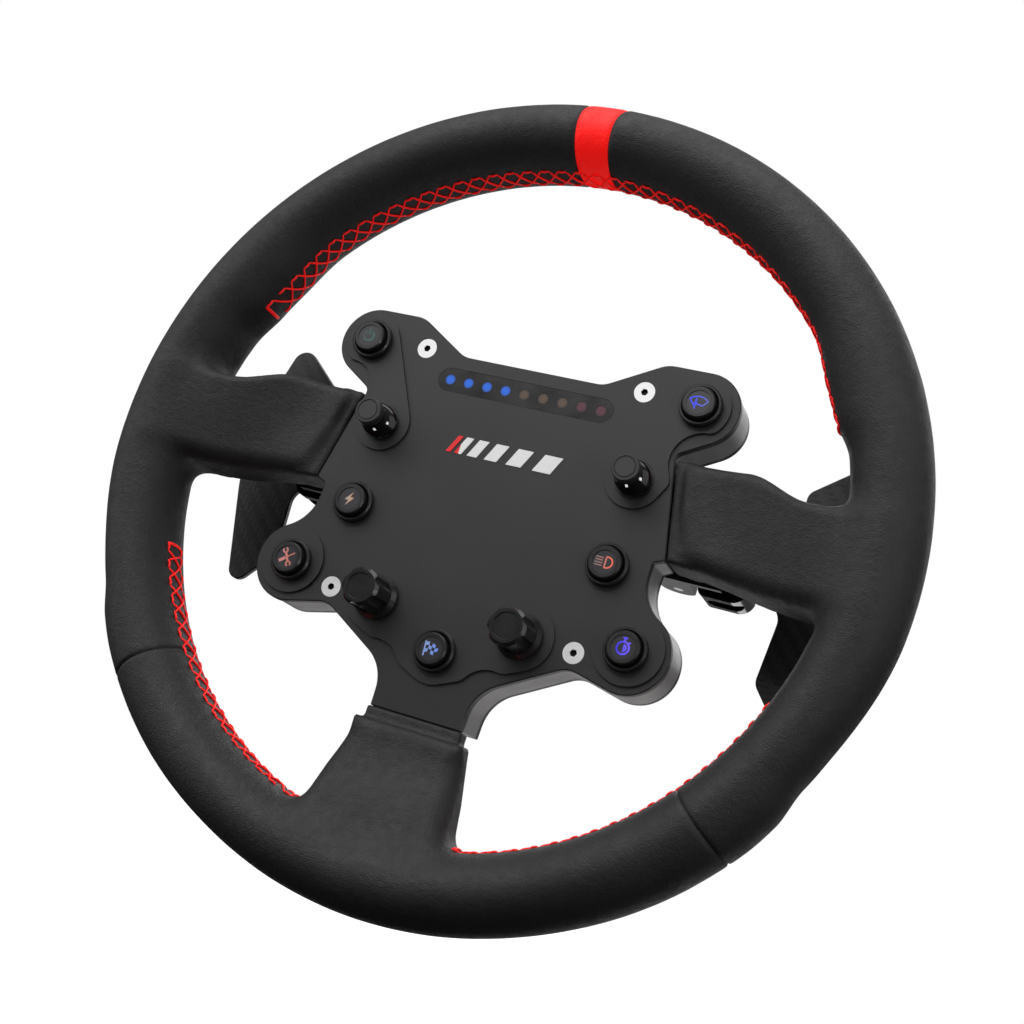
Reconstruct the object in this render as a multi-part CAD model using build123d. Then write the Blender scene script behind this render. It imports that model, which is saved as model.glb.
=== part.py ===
from build123d import *
import math
import os

# Racing wheel for a driving simulator, one STEP file per piece, in millimetres.
#
# The pieces are drawn in the driver's view: X to the right, Y up and Z towards the driver, with the
# front of the face plate at Z = 0. place() turns them into the part's own frame: +Z up, +Y away from
# the driver, and the origin in the middle of the hub's rear mounting face.

# Rim: an oval section swept round the wheel's axis
RIM_DIAMETER = 330.0
RIM_HALF_WIDTH = 14.7
RIM_HALF_DEPTH = 20.2
RIM_RADIUS = RIM_DIAMETER / 2 - RIM_HALF_WIDTH
LEATHER = 1.2
BACKING_GAP = 0.05
RING_RADIUS = 6.5
SEAM_ANGLES = (220.0, 320.0)
STRIPE_WIDTH = 15.0

# Depths along Z, from the driver's side to the mounting face
PAD_TOP = 1.0
PLATE_BACK = -3.0
GASKET_BACK = -4.5
WEB_BACK = -7.0
BOARD_BACK = -8.6
FRAME_FRONT = -11.5
FRAME_BACK = -16.0
HOUSING_BACK = -18.0
COVER_BACK = -20.5
HUB_BACK = -56.0
SPOKE_FRONT = 3.0
SIDE_SPOKE_BACK = -20.0
LOWER_SPOKE_BACK = -7.0

# Button box
WALL = 2.5
BOX_INSET = 0.4
SCREWS = ((46.85, 52.4), (51.56, -50.85))
FRAME_SCREWS = ((58.0, 3.0), (-58.0, 3.0), (0.0, -80.0))
SCREW_RADIUS = 2.0
SCREW_LENGTH = 10.0
BOSS_RADIUS = 4.2

# Side arms and lower arm of the frame
SIDE_ARM = (-3.0, 22.0)
LOWER_ARM_HALF = 13.0
ARM_THICKNESS = FRAME_FRONT - FRAME_BACK
ARM_END = -5.0

# Hub
HUB_RADIUS = 42.0
HUB_BORE = 15.0
BOLT_CIRCLE = 70.0
BOLT_COUNT = 6
BOLT_RADIUS = 3.0
BOLT_HEAD_RADIUS = 5.0
BOLT_HEAD_HEIGHT = 2.4
MOUNT_HOLE_RADIUS = 2.5
MOUNT_HOLE_DEPTH = 15.0
PLUG_FACE = -46.0
PLUG_BACK = -36.0

# Push buttons: name, centre and the height of the surface that each one sits on
BUTTONS = (
    ("start", -70.4, 50.75, PAD_TOP),
    ("wiper", 70.4, 50.75, PAD_TOP),
    ("ignition", -54.1, -16.3, 0.0),
    ("headlight", 54.1, -16.3, 0.0),
    ("tools", -70.9, -45.1, PAD_TOP),
    ("timer", 70.9, -45.1, PAD_TOP),
    ("flag", 0.0, -64.3, PAD_TOP),
)
BEZEL_RADIUS = 8.3
BEZEL_HEIGHT = 3.0
BEZEL_BORE = 6.6
SLEEVE_RADIUS = 7.6
CAP_RADIUS = 6.3
CAP_HEIGHT = 5.6
CAP_BOTTOM = -2.0
LENS_RADIUS = 4.6
LENS_THICKNESS = 0.8
LENS_DEPTH = 0.3
STEM_RADIUS = 1.6
SWITCH_SIDE = 6.2
SWITCH_TOP = -3.5

# Thumb joysticks
JOYSTICK = (54.1, 17.6)
STICK_PIVOT = -2.0
STICK_TOP = 15.8
STICK_CAP_RADIUS = 5.4
DOME_RADIUS = 6.8
DOME_BOTTOM = 2.9
GIMBAL_PIN = 0.8

# Rotary encoders
KNOB = (30.5, -50.4)
KNOB_TOP = 18.6
KNOB_BOTTOM = 1.8
KNOB_RADIUS = 7.6
SKIRT_RADIUS = 9.0
ENCODER_SIDE = 12.0
SHAFT_RADIUS = 3.0

# Rev lights
LIGHT_COUNT = 9
LIGHT_PITCH = 8.1
LIGHT_RADIUS = 2.1
LIGHT_TOP = -0.15
LIGHT_Y = 41.6
WINDOW_LENGTH = 75.0
WINDOW_WIDTH = 10.0
SLOT_LENGTH = 71.0
SLOT_WIDTH = 6.5
WINDOW_DEPTH = 1.6
WINDOW_TOP = -0.1

# Motif on the plate: slanted bars that grow longer to the right
MOTIF_BARS = 6
MOTIF_LEFT = -24.0
MOTIF_Y = (12.6, 19.8)
MOTIF_SLANT = 3.4
MOTIF_HEIGHT = 0.25

# Gear paddles: the pivot is a vertical pin
PIVOT_X = 72.0
PIVOT_Z = -36.0
PIN_RADIUS = 2.0
BRACKET_Y = (-11.0, 27.0)
EAR_THICKNESS = 4.0
LEVER_FRONT = -30.0
BLADE_FRONT = -47.0
BLADE_THICKNESS = 3.0
MAGNET_RADIUS = 4.0
MAGNET_THICKNESS = 2.6
MAGNET_PLACE = (62.0, 8.0)
MAGNET_SEAT = -31.0
MAGNET_GAP = 0.4
BRACKET_BACK = COVER_BACK - 3.0

# Fit between a turning pin and its hole, and the gap between faces that move past each other
RUNNING = 0.05
GAP = 0.3

# Right half of the face plate's outline, from the top down: x, y and corner radius
PLATE_HALF = (
    (30.0, 52.0, 10.0),
    (52.5, 65.0, 12.0),
    (85.2, 65.0, 14.6),
    (85.2, 42.0, 14.6),
    (66.0, 30.8, 3.0),
    (74.3, -9.5, 1.5),
    (70.0, -11.0, 1.5),
    (69.8, -26.1, 17.5),
    (87.1, -35.7, 15.6),
    (87.1, -65.3, 15.6),
    (51.2, -56.8, 10.0),
    (19.5, -74.8, 16.0),
    (19.0, -90.0, 0.5),
)

# Right spoke's outline, which flares into the rim at its outer end
SIDE_SPOKE = (
    (67.5, 29.0, 2.0),
    (97.0, 29.2, 30.0),
    (122.0, 21.0, 8.0),
    (134.0, 36.0, 10.0),
    (141.0, 46.0, 0.0),
    (148.0, 24.0, 0.0),
    (149.5, 0.0, 0.0),
    (147.0, -26.0, 0.0),
    (140.0, -46.0, 0.0),
    (133.0, -38.0, 10.0),
    (126.5, -15.5, 10.0),
    (75.1, -9.6, 2.0),
)

# Right half of the lower spoke's outline, from the hub outwards
LOWER_SPOKE_HALF = (
    (20.0, -90.1, 1.0),
    (23.0, -96.0, 6.0),
    (27.5, -115.0, 30.0),
    (33.0, -129.0, 8.0),
    (46.0, -138.0, 0.0),
    (24.0, -148.0, 0.0),
)

# Right blade's outline: a plate with an inner foot, an upper horn and a lower horn
BLADE = (
    (83.0, 24.0, 2.0),
    (83.0, -5.5, 2.0),
    (110.5, -5.5, 7.0),
    (108.0, -37.0, 6.0),
    (125.0, -57.0, 5.0),
    (139.0, -6.0, 60.0),
    (139.5, 26.0, 60.0),
    (131.0, 60.0, 6.0),
    (107.5, 41.0, 5.0),
    (107.5, 24.0, 4.0),
)

BASE = (Align.CENTER, Align.CENTER, Align.MIN)


# --- Drawing helpers ---

def place(shape):
    """Turn a shape from the driver's view into the part's own frame."""
    return Location((0, HUB_BACK, 0), (90, 0, 0)) * shape


def save(name, *solids):
    """Write one node, which holds one solid or a group of equal ones."""
    shapes = [place(solid) for solid in solids]
    node = shapes[0] if len(shapes) == 1 else Compound(children=shapes)
    export_step(node, f"parts/{name}.step")


def disc(radius, low, high, x=0.0, y=0.0):
    """Cylinder along Z between two heights."""
    return Pos(x, y, low) * Cylinder(radius, high - low, align=BASE)


def tube(outer, inner, low, high, x=0.0, y=0.0):
    """Ring with straight walls between two heights."""
    return disc(outer, low, high, x, y) - disc(inner, low, high, x, y)


def block(x_range, y_range, z_range):
    """Box given by its limits along each axis."""
    size = [high - low for low, high in (x_range, y_range, z_range)]
    middle = [(high + low) / 2 for low, high in (x_range, y_range, z_range)]
    return Pos(*middle) * Box(*size)


def slab(face, low, high):
    """Flat outline extruded between two heights."""
    return extrude(Pos(0, 0, low) * face, amount=high - low)


def drawn_in(corners, inset):
    """Corners of a clockwise outline, moved in parallel by a margin."""
    moved = []
    for index, (x, y, radius) in enumerate(corners):
        before = Vector(x, y) - Vector(*corners[index - 1][:2])
        after = Vector(*corners[(index + 1) % len(corners)][:2]) - Vector(x, y)
        before = before.normalized()
        after = after.normalized()
        turn = before.cross(after).Z
        # Each side moves to its right, so the corner moves along both normals
        inward = Vector(before.Y + after.Y, -before.X - after.X) * (inset / (1 + before.dot(after)))
        new_radius = radius + inset if turn > 0 else radius - inset
        moved.append((x + inward.X, y + inward.Y, max(new_radius, 0.0) if radius else 0.0))
    return moved


def rounded_face(corners, inset=0.0):
    """Closed outline whose corners have their own radii, given clockwise."""
    corners = drawn_in(corners, inset)
    points = [(x, y) for x, y, _ in corners]
    radii = [radius for _, _, radius in corners]
    return make_face(FilletPolyline(*points, radius=radii, close=True))


def symmetric_face(half, inset=0.0):
    """Closed outline from its right half, given from the top down."""
    return rounded_face(list(half) + [(-x, y, radius) for x, y, radius in reversed(half)], inset)


def turned(points):
    """Solid of revolution round Z from radius and height pairs."""
    return revolve(Plane.XZ * make_face(Polyline(*points, close=True)), Axis.Z)


def mirrored(shape):
    """The same shape on the other side of the wheel."""
    return mirror(shape, about=Plane.YZ)


def both_sides(points):
    """Points of the right side, with their mirror images."""
    return [(side * x, y) for side in (1, -1) for x, y in points]


def ring_of_points(radius, count):
    """Points evenly spaced on a circle, the first one at the top."""
    turns = [math.radians(90 + 360 * index / count) for index in range(count)]
    return [(radius * math.cos(turn), radius * math.sin(turn)) for turn in turns]


# --- Outlines ---

def plate_face(inset=0.0):
    """Outline of the face plate, drawn in by a margin."""
    return symmetric_face(PLATE_HALF, inset)


def inner_face(inset):
    """Outline inside the box, which leaves out the small step below each spoke."""
    step = PLATE_HALF[5:7]
    half = [corner for corner in PLATE_HALF if corner not in step]
    half.insert(5, (70.4, -11.0, 10.0))
    return symmetric_face(half, inset)


def scalloped(face, x, y, radius, rounding):
    """Face less a circle, with the two new corners rounded."""
    face = face - Pos(x, y) * Circle(radius)
    corners = [v for v in face.vertices() if abs(math.hypot(v.X - x, v.Y - y) - radius) < 0.01]
    return fillet(corners, rounding)


def upper_pad():
    """Raised pad under a corner button and the joystick, with a waist on its outer side."""
    ends = Pos(70.5, 50.5) * Circle(11.3) + Pos(54.0, 18.0) * Circle(11.5)
    return scalloped(make_hull(ends.edges()), 76.5, 29.0, 12.2, 5.0) & plate_face(1.2)


def lower_pad():
    """Raised pad under both rotary knobs and the lowest button."""
    x, y = KNOB
    ends = Pos(x, y) * Circle(13.0) + Pos(-x, y) * Circle(13.0) + Pos(0, -64.3) * Circle(12.5)
    pad = scalloped(make_hull(ends.edges()), 0, 22.0, 65.0, 5.0)
    for side in (1, -1):
        pad = scalloped(pad, side * 24.3, -77.3, 12.0, 5.0)
    return pad & plate_face(1.2)


def slot_face(length, width):
    """Round-ended slot of the rev lights."""
    return Pos(0, LIGHT_Y) * SlotOverall(length, width)


# --- Button box ---

def face_plate():
    """Machined front plate with raised pads and a hole for each control."""
    plate = slab(plate_face(), PLATE_BACK, 0)
    plate = chamfer(plate.edges().group_by(Axis.Z)[-1], 0.4)
    pads = [upper_pad(), mirror(upper_pad(), about=Plane.YZ), lower_pad()]
    pads += [Pos(side * 71.5, -44.5) * Circle(13.5) for side in (1, -1)]
    for pad in pads:
        plate += slab(pad, -1.0, PAD_TOP)
    for _, x, y, _ in BUTTONS:
        plate -= disc(SLEEVE_RADIUS + 0.1, PLATE_BACK, PAD_TOP, x, y)
    for x, y in both_sides([JOYSTICK]):
        plate -= disc(SLEEVE_RADIUS + 0.1, PLATE_BACK, PAD_TOP, x, y)
    for x, y in both_sides([KNOB]):
        plate -= disc(3.6, PLATE_BACK, PAD_TOP, x, y)
    for x, y in both_sides(SCREWS):
        plate -= disc(SCREW_RADIUS, PLATE_BACK, 0, x, y)
        plate -= Pos(x, y, -2.3) * Cone(SCREW_RADIUS, 4.3, 2.3, align=BASE)
    plate -= slab(slot_face(SLOT_LENGTH, SLOT_WIDTH), PLATE_BACK, 0)
    plate -= slab(slot_face(WINDOW_LENGTH, WINDOW_WIDTH), -WINDOW_DEPTH, 0)
    return plate


def control_holes(low, high, extra=0.3):
    """Everything that passes through the gasket and the front web, as one cutter."""
    holes = [disc(SLEEVE_RADIUS + extra, low, high, x, y) for _, x, y, _ in BUTTONS]
    holes += [disc(SLEEVE_RADIUS + extra, low, high, x, y) for x, y in both_sides([JOYSTICK])]
    half = ENCODER_SIDE / 2 + extra
    for x, y in both_sides([KNOB]):
        holes.append(block((x - half, x + half), (y - half, y + half), (low, high)))
    holes.append(slab(slot_face(SLOT_LENGTH, SLOT_WIDTH), low, high))
    return holes


def plate_gasket():
    """Thin black seal between the face plate and the housing."""
    gasket = slab(plate_face(0.9), GASKET_BACK, PLATE_BACK)
    for hole in control_holes(GASKET_BACK, PLATE_BACK):
        gasket -= hole
    for x, y in both_sides(SCREWS):
        gasket -= disc(SCREW_RADIUS, GASKET_BACK, PLATE_BACK, x, y)
    return gasket


def button_housing():
    """Tray behind the face plate, with screw bosses and an opening for each arm of the frame."""
    tray = slab(plate_face(BOX_INSET), HOUSING_BACK, GASKET_BACK)
    tray -= slab(inner_face(BOX_INSET + WALL), HOUSING_BACK, WEB_BACK)
    for hole in control_holes(WEB_BACK, GASKET_BACK):
        tray -= hole
    for x, y in both_sides(SCREWS):
        tray += disc(BOSS_RADIUS, HOUSING_BACK, WEB_BACK, x, y)
        tray -= disc(SCREW_RADIUS, HOUSING_BACK, GASKET_BACK, x, y)
    for x, y in FRAME_SCREWS:
        tray += disc(BOSS_RADIUS, FRAME_FRONT, WEB_BACK, x, y)
        tray -= disc(SCREW_RADIUS, FRAME_FRONT, FRAME_BACK + SCREW_LENGTH, x, y)
    low, high = SIDE_ARM
    for side in (1, -1):
        x_range = sorted((side * 64.0, side * 80.0))
        tray -= block(x_range, (low - 0.5, high + 0.5), (HOUSING_BACK, FRAME_FRONT + 0.5))
    half = LOWER_ARM_HALF + 0.5
    tray -= block((-half, half), (-92.0, -84.5), (HOUSING_BACK, FRAME_FRONT + 0.5))
    return tray


def main_board():
    """Circuit board behind the front web, with the chips and plugs on its rear side."""
    board = slab(inner_face(BOX_INSET + WALL + 1.5), BOARD_BACK, WEB_BACK)
    for x, y in both_sides(SCREWS) + list(FRAME_SCREWS):
        board -= disc(BOSS_RADIUS + 0.4, BOARD_BACK, WEB_BACK, x, y)
    half = ENCODER_SIDE / 2 + 0.3
    for x, y in both_sides([KNOB]):
        board -= block((x - half, x + half), (y - half, y + half), (BOARD_BACK, WEB_BACK))
    for x, y, width, height in ((0.0, 0.0, 14.0, 14.0), (0.0, 44.0, 30.0, 4.0), (0.0, -45.0, 10.0, 6.0)):
        chip = ((x - width / 2, x + width / 2), (y - height / 2, y + height / 2))
        board += block(*chip, (BOARD_BACK - 1.8, BOARD_BACK))
    return board


def rear_cover():
    """Flat cover that closes the housing round the hub."""
    cover = slab(plate_face(BOX_INSET), COVER_BACK, HOUSING_BACK)
    cover -= disc(HUB_RADIUS + 0.4, COVER_BACK, HOUSING_BACK)
    for x, y in both_sides(SCREWS) + both_sides(bracket_screws()):
        cover -= disc(SCREW_RADIUS, COVER_BACK, HOUSING_BACK, x, y)
    return cover


def screw(x, y, seat):
    """Pan-head screw that points towards the driver, with its head behind the seat."""
    body = disc(3.6, seat - 2.0, seat, x, y)
    body = fillet(body.edges().group_by(Axis.Z)[0], 0.9)
    body += disc(SCREW_RADIUS, seat, seat + SCREW_LENGTH, x, y)
    return body - slab(Pos(x, y) * RegularPolygon(1.45, 6), seat - 2.0, seat - 0.7)


def rear_screws():
    """Screws of the rear cover, the frame and the paddle brackets."""
    screws = [screw(x, y, COVER_BACK) for x, y in both_sides(SCREWS)]
    screws += [screw(x, y, FRAME_BACK) for x, y in FRAME_SCREWS]
    screws += [screw(x, y, BRACKET_BACK) for x, y in both_sides(bracket_screws())]
    return screws


def face_screws():
    """Countersunk screws of the face plate, with hexagon sockets."""
    socket = slab(RegularPolygon(1.45, 6), -1.6, -0.1)
    body = Pos(0, 0, -2.3) * Cone(SCREW_RADIUS, 4.12, 2.2, align=BASE)
    body += disc(SCREW_RADIUS, -9.5, -2.3)
    return [Pos(x, y, 0) * (body - socket) for x, y in both_sides(SCREWS)]


# --- Frame and rim ---

def frame():
    """Die-cast spider: a web behind the board, three arms and the ring inside the rim."""
    low, high = SIDE_ARM
    end_back = ARM_END
    end_front = ARM_END + ARM_THICKNESS
    side = ((0, FRAME_BACK), (84, FRAME_BACK), (127, end_back), (RIM_RADIUS, end_back))
    side += ((RIM_RADIUS, end_front), (125.5, end_front), (82.5, FRAME_FRONT), (0, FRAME_FRONT))
    side_arm = extrude(Plane.XZ.offset(-high) * make_face(Polyline(*side, close=True)), amount=high - low)
    lower = ((0, FRAME_BACK), (93.5, FRAME_BACK), (104, end_back), (RIM_RADIUS, end_back))
    lower += ((RIM_RADIUS, end_front), (102.5, end_front), (92, FRAME_FRONT), (0, FRAME_FRONT))
    half = LOWER_ARM_HALF
    lower_arm = extrude(Plane.XZ.offset(-half) * make_face(Polyline(*lower, close=True)), amount=2 * half)
    spider = disc(46.0, FRAME_BACK, FRAME_FRONT) + side_arm + mirrored(side_arm)
    spider += Rot(0, 0, -90) * lower_arm
    spider += revolve(Plane.XZ * Pos(RIM_RADIUS, 0) * Circle(RING_RADIUS), Axis.Z)
    spider -= disc(HUB_BORE + 0.5, FRAME_BACK, FRAME_FRONT)
    for x, y in ring_of_points(BOLT_CIRCLE / 2, BOLT_COUNT):
        spider -= disc(BOLT_RADIUS + GAP, FRAME_BACK, FRAME_FRONT, x, y)
    for x, y in FRAME_SCREWS:
        spider -= disc(SCREW_RADIUS, FRAME_BACK, FRAME_FRONT, x, y)
    for x, y in both_sides(bracket_screws()):
        spider -= disc(SCREW_RADIUS, FRAME_BACK, FRAME_FRONT, x, y)
    return spider


def rim_body(skin=0.0):
    """Rim and spokes as one solid, drawn in by the thickness of what covers them."""
    section = Ellipse(RIM_HALF_WIDTH - skin, RIM_HALF_DEPTH - skin)
    body = revolve(Plane.XZ * Pos(RIM_RADIUS, 0) * section, Axis.Z)
    side = slab(rounded_face(SIDE_SPOKE, skin), SIDE_SPOKE_BACK + skin, SPOKE_FRONT - skin)
    lower = slab(symmetric_face(LOWER_SPOKE_HALF, skin), LOWER_SPOKE_BACK + skin, SPOKE_FRONT - skin)
    return body + side + mirrored(side) + lower


def sector(start, end):
    """Tall wedge between two angles, wide enough to hold the whole rim."""
    angles = [math.radians(start + (end - start) * step / 2) for step in range(3)]
    reach = 2 * RIM_DIAMETER
    corners = [(reach * math.cos(angle), reach * math.sin(angle)) for angle in angles]
    return slab(make_face(Polyline((0, 0), *corners, close=True)), -30, 30)


def leather_cover(spider):
    """The stitched leather in four pieces, open at the spokes' inner ends for the frame's arms."""
    cover = rim_body() - rim_body(LEATHER) - spider
    stripe = math.degrees(STRIPE_WIDTH / 2 / RIM_RADIUS)
    lower_left, lower_right = SEAM_ANGLES
    spans = {
        "centre_stripe": (90 - stripe, 90 + stripe),
        "leather_left": (90 + stripe, lower_left),
        "leather_lower": (lower_left, lower_right),
        "leather_right": (lower_right, 450 - stripe),
    }
    return {name: cover & sector(*span) for name, span in spans.items()}


# --- Hub ---

def hub_spacer():
    """Turned spool that stands the wheel off the motor's hub, tapped at both ends."""
    outline = ((HUB_BORE, FRAME_BACK), (HUB_RADIUS, FRAME_BACK), (HUB_RADIUS, -24.0), (30.0, -27.0))
    outline += ((30.0, -34.0), (HUB_RADIUS, -37.0), (HUB_RADIUS, HUB_BACK), (HUB_BORE, HUB_BACK))
    spool = turned(outline)
    for x, y in ring_of_points(BOLT_CIRCLE / 2, BOLT_COUNT):
        spool -= disc(BOLT_RADIUS, -24.0, FRAME_BACK, x, y)
        spool -= disc(MOUNT_HOLE_RADIUS, HUB_BACK, HUB_BACK + MOUNT_HOLE_DEPTH, x, y)
    return spool


def hub_bolts():
    """Bolts from the frame into the spacer, with low heads behind the board."""
    head_top = FRAME_FRONT + BOLT_HEAD_HEIGHT
    bolt = disc(BOLT_HEAD_RADIUS, FRAME_FRONT, head_top) + disc(BOLT_RADIUS, -23.5, FRAME_FRONT)
    bolt -= slab(RegularPolygon(2.3, 6), FRAME_FRONT + 0.8, head_top)
    return [Pos(x, y, 0) * bolt for x, y in ring_of_points(BOLT_CIRCLE / 2, BOLT_COUNT)]


def hub_connector():
    """Round plug face with contact pins, set back in the hub's bore."""
    plug = disc(HUB_BORE, PLUG_FACE, PLUG_BACK)
    groove = (PLUG_FACE, PLUG_FACE + 2.5)
    plug -= tube(HUB_BORE - 2.0, 9.5, *groove) + block((-1.5, 1.5), (9.0, 14.0), groove)
    for x, y in ring_of_points(5.0, 5) + [(0.0, 0.0)]:
        plug += disc(0.9, PLUG_FACE - 2.5, PLUG_FACE + 1.0, x, y)
    return plug


# --- Push buttons ---

def button_bezel(x, y, seat):
    """Collar round a button, with a sleeve through the plate."""
    outline = ((BEZEL_BORE, -6.5), (SLEEVE_RADIUS, -6.5), (SLEEVE_RADIUS, seat), (BEZEL_RADIUS, seat))
    top = seat + BEZEL_HEIGHT
    outline += ((BEZEL_RADIUS, top - 0.5), (BEZEL_RADIUS - 0.5, top), (BEZEL_BORE + 0.7, top))
    outline += ((BEZEL_BORE, top - 0.9),)
    return Pos(x, y, 0) * turned(outline)


def button_switch(x, y):
    """Tactile switch on the board, with a guide hole for the cap's stem."""
    half = SWITCH_SIDE / 2
    body = block((x - half, x + half), (y - half, y + half), (WEB_BACK, SWITCH_TOP))
    return body - disc(STEM_RADIUS + GAP, WEB_BACK + 0.8, SWITCH_TOP, x, y)


def button_cap(x, y, seat):
    """Cap with a raised rim, a recess for its lens and a stem."""
    top = seat + CAP_HEIGHT
    outline = ((0, -4.6), (STEM_RADIUS, -4.6), (STEM_RADIUS, CAP_BOTTOM), (CAP_RADIUS, CAP_BOTTOM))
    outline += ((CAP_RADIUS, top - 0.5), (CAP_RADIUS - 0.5, top), (LENS_RADIUS, top))
    outline += ((LENS_RADIUS, top - LENS_DEPTH - LENS_THICKNESS), (0, top - LENS_DEPTH - LENS_THICKNESS))
    return Pos(x, y, 0) * turned(outline)


def button_lens(x, y, seat):
    """Disc that carries a button's symbol, a little below the cap's rim."""
    top = seat + CAP_HEIGHT - LENS_DEPTH
    return disc(LENS_RADIUS, top - LENS_THICKNESS, top, x, y)


# --- Thumb joysticks ---

def joystick_base(x, y):
    """Cup in the plate that carries the gimbal ring on two pins."""
    cup = disc(SLEEVE_RADIUS, WEB_BACK, 0.8, x, y) - disc(6.1, -6.4, 0.8, x, y)
    pin_hole = Pos(x, y, STICK_PIVOT) * Rot(0, 90, 0) * Cylinder(GIMBAL_PIN + RUNNING, 15.0)
    return cup - pin_hole


def joystick_yoke(x, y):
    """Gimbal ring, with a pin out to each side."""
    ring = tube(5.6, 4.2, -1.0, 1.0)
    for side in (1, -1):
        ring += Pos(side * 6.2, 0, 0) * Rot(0, 90, 0) * Cylinder(GIMBAL_PIN, 1.8)
    ring -= Rot(90, 0, 0) * Cylinder(GIMBAL_PIN + RUNNING, 12.0)
    return Pos(x, y, STICK_PIVOT) * ring


def joystick_stick(x, y):
    """Glossy dome that tapers up to the cap, with the cross pin that it tilts on."""
    stem = ((0, -5.3), (1.6, -5.3), (1.6, -3.4), (2.4, -2.8), (2.4, DOME_BOTTOM))
    bore = ((2.3, 12.4), (2.3, 7.0), (0, 7.0))
    start = (DOME_RADIUS, DOME_BOTTOM)
    dome = ThreePointArc((DOME_RADIUS, DOME_BOTTOM + 0.8), (6.35, 7.2), (4.9, 10.3))
    outline = Polyline(*stem, start, dome @ 0) + dome
    outline += Polyline(dome @ 1, (3.4, 10.3), (3.4, 12.4), *bore, stem[0])
    stick = revolve(Plane.XZ * make_face(outline), Axis.Z)
    stick += Pos(0, 0, STICK_PIVOT) * Rot(90, 0, 0) * Cylinder(GIMBAL_PIN, 11.0)
    return Pos(x, y, 0) * stick


def joystick_cap(x, y):
    """Round thumb cap with a fine ring on top, which also pushes in."""
    outline = ((0, 8.4), (2.0, 8.4), (2.0, 13.4), (3.9, 13.4), (3.9, 11.4), (5.0, 11.4))
    outline += ((STICK_CAP_RADIUS, 11.8), (STICK_CAP_RADIUS, 15.4), (STICK_CAP_RADIUS - 0.4, STICK_TOP))
    outline += ((4.4, STICK_TOP), (4.2, 15.5), (3.9, 15.5), (3.7, STICK_TOP), (0, STICK_TOP))
    return Pos(x, y, 0) * turned(outline)


# --- Rotary encoders ---

def encoder_body(x, y):
    """Square encoder behind the plate, with the threaded bush that comes through it."""
    half = ENCODER_SIDE / 2
    body = block((x - half, x + half), (y - half, y + half), (-10.0, PLATE_BACK))
    body += disc(3.5, PLATE_BACK, 4.6, x, y)
    body -= disc(SHAFT_RADIUS + RUNNING, -8.6, 4.6, x, y)
    return body - disc(4.7, -8.6, -6.0, x, y)


def encoder_nut(x, y):
    """Hexagon nut that clamps the plate, under the knob."""
    return slab(Pos(x, y) * RegularPolygon(5.4, 6), PAD_TOP, PAD_TOP + 2.2) - disc(3.5, 0, 4, x, y)


def knob_shaft(x, y):
    """Shaft that turns in the bush, with the contact disc on its inner end."""
    return disc(4.4, -8.3, -6.3, x, y) + disc(SHAFT_RADIUS, -6.3, 14.0, x, y)


def rotary_knob(x, y):
    """Fluted knob with a flared skirt, hollow round the nut."""
    outline = ((7.4, KNOB_BOTTOM), (SKIRT_RADIUS, KNOB_BOTTOM), (SKIRT_RADIUS, 3.4), (KNOB_RADIUS, 5.2))
    outline += ((KNOB_RADIUS, 17.4), (6.4, KNOB_TOP), (5.2, KNOB_TOP), (5.0, KNOB_TOP - 0.5))
    outline += ((0, KNOB_TOP - 0.5), (0, 14.0), (SHAFT_RADIUS, 14.0), (SHAFT_RADIUS, 5.6), (7.4, 5.6))
    knob = turned(outline)
    for flute_x, flute_y in ring_of_points(KNOB_RADIUS + 1.5, 6):
        knob -= disc(2.6, 6.2, KNOB_TOP, flute_x, flute_y)
    return Pos(x, y, 0) * knob


# --- Rev lights and motif ---

def light_places():
    """Centres of the rev lights, from the left."""
    first = -(LIGHT_COUNT - 1) / 2 * LIGHT_PITCH
    return [(first + index * LIGHT_PITCH, LIGHT_Y) for index in range(LIGHT_COUNT)]


def light_window():
    """Smoked window with a hole for each rev light."""
    window = slab(slot_face(WINDOW_LENGTH - 0.2, WINDOW_WIDTH - 0.2), -WINDOW_DEPTH, WINDOW_TOP)
    for x, y in light_places():
        window -= disc(LIGHT_RADIUS + RUNNING, -WINDOW_DEPTH, WINDOW_TOP, x, y)
    return window


def rev_lights():
    """Row of round lamps on the board, just below the window's face."""
    lamp = disc(LIGHT_RADIUS, WEB_BACK, LIGHT_TOP)
    return [Pos(x, y, 0) * lamp for x, y in light_places()]


def centre_motif():
    """Row of thin slanted bars on the plate, each a little longer than the last."""
    bars = []
    low, high = MOTIF_Y
    for index in range(MOTIF_BARS):
        width = 2.0 + 1.1 * index
        left = MOTIF_LEFT + index * (2.7 + 0.95 * index)
        right = left + width
        corners = ((left, low), (right, low), (right + MOTIF_SLANT, high), (left + MOTIF_SLANT, high))
        bars.append(slab(make_face(Polyline(*corners, close=True)), 0, MOTIF_HEIGHT))
    return bars


# --- Gear paddles, drawn on the right-hand side ---

def bracket_screws():
    """Screw places of the right bracket."""
    return [(52.0, 0.0), (52.0, 19.0)]


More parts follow.
